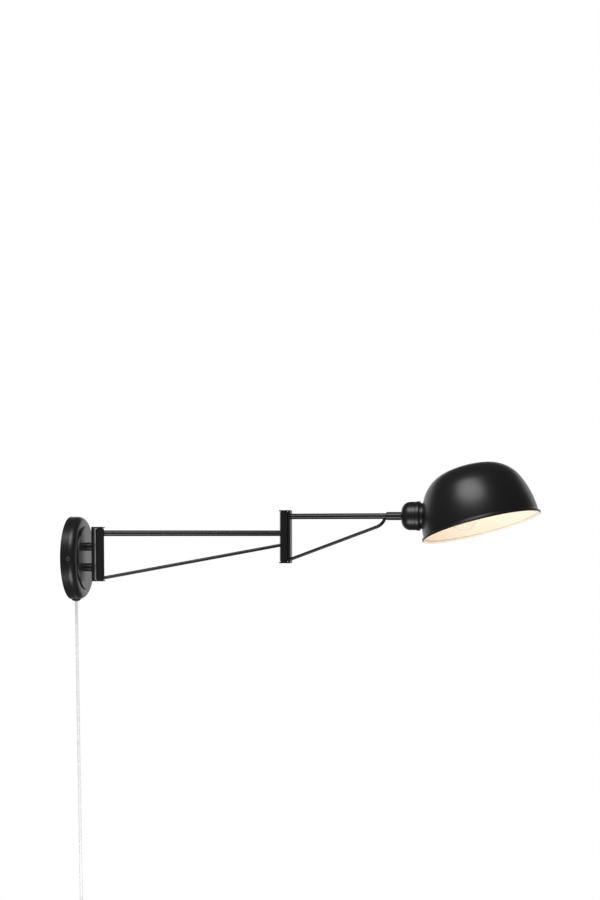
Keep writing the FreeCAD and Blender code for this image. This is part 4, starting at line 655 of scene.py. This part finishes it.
def lip_arc(foot, lip, taper):
    """The lip's arc, which leaves the skirt's line at its foot and ends at the lip."""
    ahead = np.array([math.sin(taper), -math.cos(taper)])
    chord = lip - foot
    length = np.linalg.norm(chord)
    unit = chord / length
    off = ahead - unit * (ahead @ unit)
    half = math.acos(np.clip(ahead @ unit, -1, 1))
    share = np.linspace(-1, 1, 9)
    radius = length / (2 * math.sin(half))
    along = radius * np.sin(share * half) + length / 2
    sag = radius * (np.cos(share * half) - math.cos(half))
    points = foot + along[:, None] * unit + sag[:, None] * off / np.linalg.norm(off)
    return points[::-1]


def about_z(line):
    """A section of (radius, height) turned about Z, as (height, radius) about a frame whose X is up."""
    return line[:, ::-1]


UP_FRAME = turned("Y", -90)


def make_shade():
    """The spun shade: black outside and round the outer half of the bead, white inside, with the holder's
    hole in its side."""
    outer, inner = shade_line(0.0), shade_line(SHADE["wall"])
    bead, half = SHADE["bead"], SHADE["wall"] / 2
    rise = math.sqrt(bead**2 - half**2)
    turn = math.degrees(math.atan2(rise, half))
    rim = arc((SHADE["lip"] - half, 0.0), bead, 180 - turn, 360 + turn, 25)
    section = np.concatenate([inner[inner[:, 1] > rise][::-1], rim, outer[outer[:, 1] > rise]])
    grid = put(revolved(about_z(section), 192), SHADE_PLACE @ UP_FRAME)
    mesh = mesh_from("dome_shade", [grid], caps=False)
    mesh.materials.append(BLACK)
    mesh.materials.append(WHITE)
    own = np.linalg.inv(SHADE_PLACE)
    centre = np.empty(len(mesh.polygons) * 3)
    mesh.polygons.foreach_get("center", centre)
    centre = centre.reshape(-1, 3) / MM @ own[:3, :3].T + own[:3, 3]
    radius, height = np.hypot(centre[:, 0], centre[:, 1]), centre[:, 2]
    middle = shade_line(SHADE["wall"] / 2)
    beside = np.interp(height, middle[:, 1], middle[:, 0])
    inside = radius < beside
    mesh.polygons.foreach_set("material_index", inside.astype(np.int32))
    mesh.shade_smooth()
    mesh.set_sharp_from_angle(angle=math.radians(35))
    shade = bpy.data.objects.new("dome_shade", mesh)
    bpy.context.scene.collection.objects.link(shade)
    start, end, radius = (HOLDER_HOLE[key] for key in ("start", "end", "radius"))
    drill = rounded([(start, 0), (start, radius), (end, radius), (end, 0)], closed=False)
    drill_mesh = mesh_from("drill", [put(revolved(drill, 72), HEAD)], caps=False)
    drill_mesh.materials.append(BLACK)
    cutter = bpy.data.objects.new("drill", drill_mesh)
    bpy.context.scene.collection.objects.link(cutter)
    settle(shade, "BOOLEAN", operation="DIFFERENCE", object=cutter, solver="EXACT")
    bpy.data.objects.remove(cutter)
    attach(shade, "lamp_head")
    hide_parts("shade")


def shade_face_at(points, inset):
    """How far along +X from each of some points, given in the head's frame, the shade's surface lies. Each
    distance is found by halving an interval at whose ends the point is outside and inside the shade."""
    line = shade_line(inset)
    to_shade = np.linalg.inv(np.linalg.inv(HEAD) @ SHADE_PLACE)
    low, high = np.zeros(points.shape[:-1]), np.full(points.shape[:-1], 30.0)
    for _ in range(40):
        middle = (low + high) / 2
        probe = points + middle[..., None] * np.array([1.0, 0, 0])
        spot = probe @ to_shade[:3, :3].T + to_shade[:3, 3]
        inside = np.hypot(spot[..., 0], spot[..., 1]) < np.interp(spot[..., 2], line[:, 1], line[:, 0])
        high, low = np.where(inside, middle, high), np.where(inside, low, middle)
    return (low + high) / 2


def make_spacer():
    """The bevelled spacer between ring and shade: each point of its front ring is carried along the arm
    until it meets the shade's outside."""
    start, radius = RING["front"], SPACER["radius"]
    bore = HOLDER["radius"] + 0.05
    front_radius = radius - SPACER["bevel"]
    bevel_end = start + 0.7 * (SPACER["front"] - start)
    rear = rounded([(start, bore), (start, radius, 0.2), (bevel_end, front_radius)], 5, closed=False)
    grid = revolved(np.concatenate([rear, [[bevel_end, front_radius], [bevel_end, bore]]]), ROUND)
    front = grid[-2:].copy()
    front[..., 0] = start
    grid[-2:, :, 0] = start + shade_face_at(front, 0.05)
    mesh = mesh_from("bevelled_spacer", [put(grid, HEAD)], closed=True)
    finish_piece("bevelled_spacer", mesh, "lamp_head", BLACK, ["shade_spacer"])


# ---------------------------------------------------------------- lamp holder and bulb


def make_holder():
    back, front, radius, floor, bore = (HOLDER[key] for key in ("back", "front", "radius", "floor", "bore"))
    profile = rounded(
        [(back, 0), (back, radius, 0.5), (front, radius, 1.4), (front, bore, 0.3), (floor, bore), (floor, 0)],
        closed=False,
    )
    holder = [(profile, ROOT)]
    turned_piece("moulded_holder", holder, HEAD, "lamp_head", HOLDER_WHITE, ["lamp_holder"], count=72)


def screw_surface(start, end, radius, depth, pitch, count=72, rows=90):
    """A rolled screw cap about X: the radius at (x, angle) is radius - depth / 2 (1 - cos(2 pi x / pitch -
    angle)), faded out at both ends so that they are round."""
    x = np.linspace(start, end, rows)[:, None]
    angle = np.linspace(0, 2 * np.pi, count, endpoint=False)[None]
    fade = np.clip(np.minimum(x - start, end - x) / pitch, 0, 1)
    wave = radius - depth / 2 * fade * (1 - np.cos(2 * np.pi * x / pitch - angle))
    return np.stack([np.broadcast_to(x, wave.shape), wave * np.cos(angle), wave * np.sin(angle)], axis=-1)


def make_bulb_cap():
    """The bulb's rolled cap and, below it, the insulator's cone and the centre contact."""
    tip, radius = BULB["tip"], CAP["radius"]
    top = tip + BULB["cap"]
    low, high = tip + CAP["thread"], top - CAP["collar"]
    thread = screw_surface(low, high, radius, CAP["depth"], CAP["pitch"])
    cone = [(tip, 0), (tip, 3.0, 0.8), (tip + 2.2, 5.2, 0.5), (tip + 4.6, 6.6, 0.5), (low, radius)]
    collar = [(high, radius), (top - 0.6, 7.0, 0.4), (top, 6.0), (top, 0)]
    foot, neck = (revolved(rounded(line, closed=False), 72) for line in (cone, collar))
    grid = np.concatenate([foot, thread[1:], neck[1:]])
    mesh = mesh_from("rolled_cap", [put(grid, HEAD)], caps=False)
    finish_piece("rolled_cap", mesh, "lamp_head", NICKEL, ["bulb_cap"])


def bulb_line(inset):
    """The glass's section from its neck to its pole: the neck blends into the globe by an arc."""
    centre = BULB["tip"] + BULB["length"] - BULB["radius"]
    radius, neck, blend = BULB["radius"] - inset, BULB["neck"] - inset, 5.0
    side = neck + blend
    reach = math.sqrt((radius + blend) ** 2 - side**2)
    turn = math.degrees(math.atan2(side, reach))
    globe = arc((centre, 0), radius, 180 - turn, 0, 48)
    fillet = arc((centre - reach, side), blend, 270, 360 - turn, 12)
    start = np.array([[BULB["tip"] + BULB["cap"], neck]])
    return np.concatenate([start, fillet, globe[1:]])


def make_bulb():
    outer, inner = bulb_line(0.0), bulb_line(BULB["wall"])
    profile = np.concatenate([outer, inner[::-1]])
    globe, nodes = [(profile, ROOT)], ["bulb_glass"]
    glass = turned_piece("globe_glass", globe, HEAD, "lamp_head", GLASS, nodes, closed=True, count=128)
    glass.visible_shadow = False
    make_bulb_cap()


# ---------------------------------------------------------------- cord


def curve_through(name, points, material, body, nodes):
    """A round cord of the cord's radius, a smooth spline with these points as its controls, in metres."""
    curve = bpy.data.curves.new(name, "CURVE")
    curve.dimensions = "3D"
    curve.bevel_depth = CORD_RADIUS * MM
    curve.bevel_resolution = 6
    curve.use_fill_caps = True
    spline = curve.splines.new("NURBS")
    spline.points.add(len(points) - 1)
    controls = np.ones((len(points), 4))
    controls[:, :3] = np.asarray(points) * MM
    spline.points.foreach_set("co", controls.ravel())
    spline.order_u = 3
    spline.use_endpoint_u = True
    spline.resolution_u = 6
    curve.materials.append(material)
    cord = bpy.data.objects.new(name, curve)
    bpy.context.scene.collection.objects.link(cord)
    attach(cord, body)
    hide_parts(*nodes)
    return cord


def coil_controls(first_point, per_turn=24):
    """The coil's loop: an inward spiral in one layer and an outward one in the next, the radius falling by
    one pitch a turn and then rising again, and the layer changing over the half turn between."""
    turn = np.linspace(0, COIL["turns"], int(COIL["turns"] * per_turn))
    half = COIL["turns"] / 2
    radius = COIL["outer"] - COIL["pitch"] * np.where(turn < half, turn, COIL["turns"] - turn)
    climb = np.clip((turn - half) / 0.5 + 0.5, 0, 1)
    layer = COIL["pitch"] * (3 * climb**2 - 2 * climb**3)
    angle = np.radians(COIL["start"]) + 2 * np.pi * turn
    loop = np.stack([layer, radius * np.cos(angle), radius * np.sin(angle)], axis=1)
    return loop - loop[0] + first_point


def make_hanging_cord(pieces):
    """The cord that hangs from the grip to the switch, straight under its own weight."""
    top, end = np.array([CORD_X, 0, -CORD_EXIT]), np.array([SWITCH_X, 0, SWITCH["top"]])
    points = np.linspace(top, end, 9)
    cord = curve_through("hanging_cord", points, CLEAR, "root", ["cord_drop"])


def make_coiled_cord(pieces):
    """The rest of the cord: a short tail below the switch, the tied coil of the spare length, and the
    plug's lead. The tail's one corner lies under the switch, on the line that the coil starts along."""
    low = SWITCH["top"] - SWITCH["length"]
    start = math.radians(COIL["start"])
    drop = low - TAIL_LENGTH - TAIL_BEND * math.sin(start)
    first = np.array([SWITCH_X, COIL["outer"] * math.cos(start), drop])
    spin = 2 * math.pi * COIL["outer"] * np.array([0, -math.sin(start), math.cos(start)])
    ahead = spin - COIL["pitch"] * np.array([0, math.cos(start), math.sin(start)])
    corner = first - ahead * first[1] / ahead[1]
    loop = coil_controls(first)
    tail = np.array([[SWITCH_X, 0, low], [SWITCH_X, 0, low - 12], corner])
    lead = loop[-1] + np.array([[0, -0.36, -12.6], [0, -0.37, -20.0], [0, -0.37, -PLUG_LEAD]])
    points = np.concatenate([tail, loop, lead])
    cord = curve_through("coiled_cord", points, CLEAR, "root", ["cord_tail", "cord_coil", "plug_lead"])


# ---------------------------------------------------------------- switch, tie and plug


TOWARDS_X = turned("Y", 90)
SWITCH_MIDDLE = SWITCH["top"] - SWITCH["length"] / 2
ROCKER = dict(width=10.0, length=17.0, gap=0.3, tilt=8.0)
ROCKER_X = SWITCH["back"] + SWITCH["thickness"] - ROCKER["length"] / 4


def box_loop(half_up, half_across, corner, count=8):
    """A rounded rectangle about the origin."""
    a, b = half_up, half_across
    return rounded([(-a, -b, corner), (a, -b, corner), (a, b, corner), (-a, b, corner)], count)


def make_switch():
    """The in-line switch: two case halves with a fine seam between them, and a well for the rocker."""
    outside = box_loop(SWITCH["length"] / 2, SWITCH["width"] / 2, SWITCH["corner"])
    place = shifted(0, 0, SWITCH_MIDDLE) @ TOWARDS_X
    back, seam, front = SWITCH["back"], SWITCH_X, SWITCH["back"] + SWITCH["thickness"]
    rear_side = np.concatenate([arc((2.0, back + 2.0), 2.0, 270, 180, 8), [[0, seam - 0.25], [0.25, seam]]])
    rear = put(raised(outside, rear_side), place)
    rear_mesh = mesh_from("back", [rear])
    back_half = finish_piece("switch_shell_back", rear_mesh, "root", CLEAR_BLOCK, ["switch_back"])
    well = box_loop(ROCKER["length"] / 2 + ROCKER["gap"], ROCKER["width"] / 2 + ROCKER["gap"], 0.8)
    front_side = np.concatenate([[[0.25, seam], [0, seam + 0.25]], arc((2.0, front - 2.0), 2.0, 180, 90, 8)])
    well_side = np.array([[-0.3, front], [0, front - 0.3], [0, seam]])
    grid = np.concatenate([raised(outside, front_side), raised(well, well_side)])
    mesh = mesh_from("front", [put(grid, place)], closed=True)
    return [back_half, finish_piece("switch_shell_front", mesh, "root", CLEAR_BLOCK, ["switch_front"])]


def make_rocker():
    """The rocker: its side outline, two flats meeting in a valley, raised across its width."""
    tilt, deep, long = math.radians(ROCKER["tilt"]), ROCKER["length"] / 4, ROCKER["length"] / 2
    crest = deep * math.cos(tilt) + long * math.sin(tilt)
    reach = long * math.cos(tilt) - deep * math.sin(tilt)
    valley = crest - reach * math.tan(tilt)
    foot, foot_reach = -1.9, reach * 0.75
    corners = [(crest, -reach, 0.6), (valley, 0.0), (crest, reach, 0.6)]
    corners += [(foot, foot_reach, 0.8), (foot, -foot_reach, 0.8)]
    place = shifted(ROCKER_X, 0, SWITCH_MIDDLE) @ turned("Y", ROCKER["tilt"]) @ turned("X", 90)
    half = ROCKER["width"] / 2
    grid = put(raised(rounded(corners, 5), block_profile(-half, half, 0.4)), place)
    mesh = mesh_from("rocker_key", [grid])
    return finish_piece("rocker_key", mesh, "rocker", ROCKER_WHITE, ["switch_rocker"])


def make_tie():
    """A strap round the coil's bundle: a rounded rectangle carried round the outline of its wall."""
    low, high = np.array([TIE["back"], TIE["near"]]), np.array([TIE["front"], TIE["far"]])
    half, middle = (high - low) / 2, (high + low) / 2
    wall, wide = TIE["wall"], TIE["half_width"]
    profile = rounded([(0, -wide, 0.3), (0, wide, 0.3), (wall, wide, 0.3), (wall, -wide, 0.3)], 4)
    place = shifted(middle[0], middle[1], COIL_MIDDLE)
    grid = put(raised(box_loop(half[0], half[1], 1.6), profile), place)
    mesh = mesh_from("strap_tie", [grid], closed=True)
    return finish_piece("strap_tie", mesh, "root", DARK_STRAP, ["coil_tie"])


def make_plug():
    """A flat two-pin plug: a tapered outline with soft edges, and two round pins."""
    wide, length, thick = PLUG["half_width"], PLUG["length"], PLUG["half_thickness"]
    half = [(0, PLUG["neck"], 3.2), (-PLUG["shoulder"], wide, 6.0), (-length, wide, 3.2)]
    loop = rounded(half + [(x, -y, r) for x, y, r in reversed(half)], 8)
    place = shifted(*PLUG_PLACE) @ turned("Y", -90)
    grid = put(raised(loop, block_profile(-thick, thick, PLUG["edge"], 8)), place)
    mesh = mesh_from("moulded_plug", [grid])
    plug = finish_piece("moulded_plug", mesh, "root", CLEAR_BLOCK, ["mains_plug"])
    tip, radius = length + PLUG_PIN["length"], PLUG_PIN["radius"]
    pin = rounded([(length, 0), (length, radius), (tip, radius, 1.4), (tip, 0)], 6, closed=False)
    down = shifted(*PLUG_PLACE) @ turned("Y", 90)
    pins = [(pin, down @ shifted(0, side * PLUG_PIN["spacing"] / 2, 0)) for side in (-1, 1)]
    return [plug, turned_piece("round_pins", pins, ROOT, "root", NICKEL, ["plug_pins"], count=32)]


COIL_START = math.radians(COIL["start"])
COIL_FOOT = SWITCH["top"] - SWITCH["length"] - TAIL_LENGTH - TAIL_BEND * math.sin(COIL_START)
COIL_MIDDLE = COIL_FOOT - COIL["outer"] * math.sin(COIL_START)
PLUG_PLACE = (SWITCH_X + COIL["pitch"], -COIL["outer"] - 0.37, COIL_MIDDLE - PLUG_LEAD)


make_wall_plate()
make_posts()
make_side_screws()
make_cord_grip()
make_fork("wall_fork", ROOT, FORK_BACK, WALL_WEB, 0.0, 1, "root")
make_fork("elbow_fork", ARM_2, HINGE["reach"] + ELBOW_WEB, ELBOW_WEB, ELBOW_RISE, -1, "arm_2")
make_upright("wall_upright", 0.0, 0.0)
make_upright("elbow_upright", ARM_1_LENGTH, ELBOW_RISE)
make_washers("wall_pivot_washers", 0.0, 0.0)
make_washers("elbow_pivot_washers", ARM_1_LENGTH, ELBOW_RISE)
make_pins("wall_pivot_pins", ROOT, WALL_PIVOT, 0.0, "root")
make_pins("elbow_pivot_pins", ARM_2, 0.0, ELBOW_RISE, "arm_2")
make_grub_screws()
make_arms()
make_swivel()
make_cup()
make_ring()
make_shade()
make_spacer()
make_holder()
make_bulb()
make_hanging_cord([*make_switch(), make_rocker()])
make_coiled_cord([make_tie(), *make_plug()])


# ---------------------------------------------------------------- studio


PICTURE = (600, 900)
CAMERA = dict(
    sensor=36.0, focal_pixels=1224.0, rising_shift=0.1733, down=3.4, turn=5.0, place=(0.48755, -1.74987, 0.036)
)
WORLD_LIGHT, WORLD_SEEN = 0.55, 1.0
ARM_MIDDLE = (0.3, 0, 0.05)


def make_world():
    """White to the camera, and to what reflects or shows it; plain light grey as a light."""
    world = bpy.data.worlds.new("studio")
    bpy.context.scene.world = world
    world.use_nodes = True
    nodes, link = world.node_tree.nodes, world.node_tree.links.new
    nodes.clear()
    path = nodes.new("ShaderNodeLightPath")
    seen, shown = nodes.new("ShaderNodeMath"), nodes.new("ShaderNodeMath")
    seen.operation = shown.operation = "MAXIMUM"
    strength = nodes.new("ShaderNodeMapRange")
    strength.inputs["To Min"].default_value = WORLD_LIGHT
    strength.inputs["To Max"].default_value = WORLD_SEEN
    background, output = nodes.new("ShaderNodeBackground"), nodes.new("ShaderNodeOutputWorld")
    background.inputs["Color"].default_value = (1.0, 1.0, 1.0, 1.0)
    link(path.outputs["Is Camera Ray"], seen.inputs[0])
    link(path.outputs["Is Glossy Ray"], seen.inputs[1])
    link(seen.outputs[0], shown.inputs[0])
    link(path.outputs["Is Transmission Ray"], shown.inputs[1])
    link(shown.outputs[0], strength.inputs["Value"])
    link(strength.outputs["Result"], background.inputs["Strength"])
    link(background.outputs["Background"], output.inputs["Surface"])


def make_camera():
    """The photograph's camera: level with the long arm, tipped down a little with a rising shift."""
    data = bpy.data.cameras.new("camera")
    data.sensor_fit = "VERTICAL"
    data.sensor_height = CAMERA["sensor"]
    data.lens = CAMERA["sensor"] * CAMERA["focal_pixels"] / PICTURE[1]
    data.shift_y = CAMERA["rising_shift"]
    camera = bpy.data.objects.new("camera", data)
    bpy.context.scene.collection.objects.link(camera)
    camera.location = CAMERA["place"]
    camera.rotation_euler = (math.radians(90 - CAMERA["down"]), 0, math.radians(CAMERA["turn"]))
    bpy.context.scene.camera = camera


def make_soft_box(name, place, aim, width, height, radiance, mirrored=True):
    """A round soft box: an area light that faces a point. Its power is radiance times area times pi."""
    data = bpy.data.lights.new(name, "AREA")
    data.shape, data.size, data.size_y = "ELLIPSE", width, height
    data.energy = math.pi * (math.pi / 4 * width * height) * radiance
    light = bpy.data.objects.new(name, data)
    bpy.context.scene.collection.objects.link(light)
    light.location = place
    light.rotation_euler = (Vector(place) - Vector(aim)).to_track_quat("Z", "Y").to_euler()
    light.visible_camera = False
    light.visible_transmission = False
    light.visible_glossy = mirrored
    return light


def make_bulb_light():
    """The warm glow of the bulb's filaments. It is part of the stage, so it stays at the rest pose."""
    data = bpy.data.lights.new("bulb_glow", "POINT")
    data.color = (1.0, 0.68, 0.38)
    data.energy = 0.06
    data.shadow_soft_size = 0.008
    glow = bpy.data.objects.new("bulb_glow", data)
    bpy.context.scene.collection.objects.link(glow)
    along = BULB["tip"] + BULB["length"] - BULB["radius"]
    glow.location = (HEAD @ np.array([along, 0, 0, 1]))[:3] * MM
    glow.visible_camera = glow.visible_glossy = glow.visible_transmission = False
    return glow


def make_dark_room():
    """The unlit room round the set, open to the white backdrop behind the lamp. Only reflections show it:
    a part of a sphere, whose point at (azimuth, elevation) lies that way from its middle."""
    azimuth = np.radians(np.linspace(0, 360, 73)[:-1])
    elevation = np.radians(np.linspace(-90, 90, 37))[:, None]
    across = np.cos(elevation)
    sphere = [across * np.sin(azimuth), -across * np.cos(azimuth), np.sin(elevation) + 0 * azimuth]
    points = (np.stack(sphere, axis=-1) * ROOM["radius"] + ROOM["middle"]).reshape(-1, 3)
    faces = faces_of(37, 72, False)
    middle = points[faces].mean(axis=1) - ROOM["middle"]
    turn = np.degrees(np.arctan2(middle[:, 0], middle[:, 1]))
    rise = np.degrees(np.arcsin(middle[:, 2] / ROOM["radius"]))
    open_back = (np.abs(turn) < ROOM["half_width"]) & (np.abs(rise) < ROOM["half_height"])
    mesh = bpy.data.meshes.new("dark_room")
    mesh.from_pydata(points.tolist(), [], faces[~open_back].tolist())
    mesh.materials.append(DARK_ROOM)
    room = bpy.data.objects.new("dark_room", mesh)
    bpy.context.scene.collection.objects.link(room)
    room.visible_camera = room.visible_diffuse = room.visible_transmission = room.visible_shadow = False
    return room


ROOM = dict(middle=np.array([0.3, 0.0, 0.0]), radius=3.0, half_width=50.0, half_height=27.0)
DARK_ROOM = make_finish(
    "dark_room", (0.0, 0.0, 0.0), 1.0, Emission_Color=(0.1, 0.1, 0.1, 1.0), Emission_Strength=1.0
)
DARK_ROOM.cycles.emission_sampling = "NONE"

make_world()
make_camera()
make_dark_room()
make_soft_box("upper_box", (0.22, -0.6, 0.92), ARM_MIDDLE, 0.95, 0.62, 6.0)
make_soft_box("lower_box", (0.22, -0.65, -0.8), ARM_MIDDLE, 0.8, 0.5, 6.0)
make_bulb_light()
make_soft_box("floor_bounce", (0.4, -0.2, -1.0), (0.45, 0, 0), 1.2, 1.2, 1.0, mirrored=False)

scene = bpy.context.scene
scene.render.resolution_x, scene.render.resolution_y = PICTURE
scene.view_settings.view_transform = "Standard"
scene.render.engine = "CYCLES"
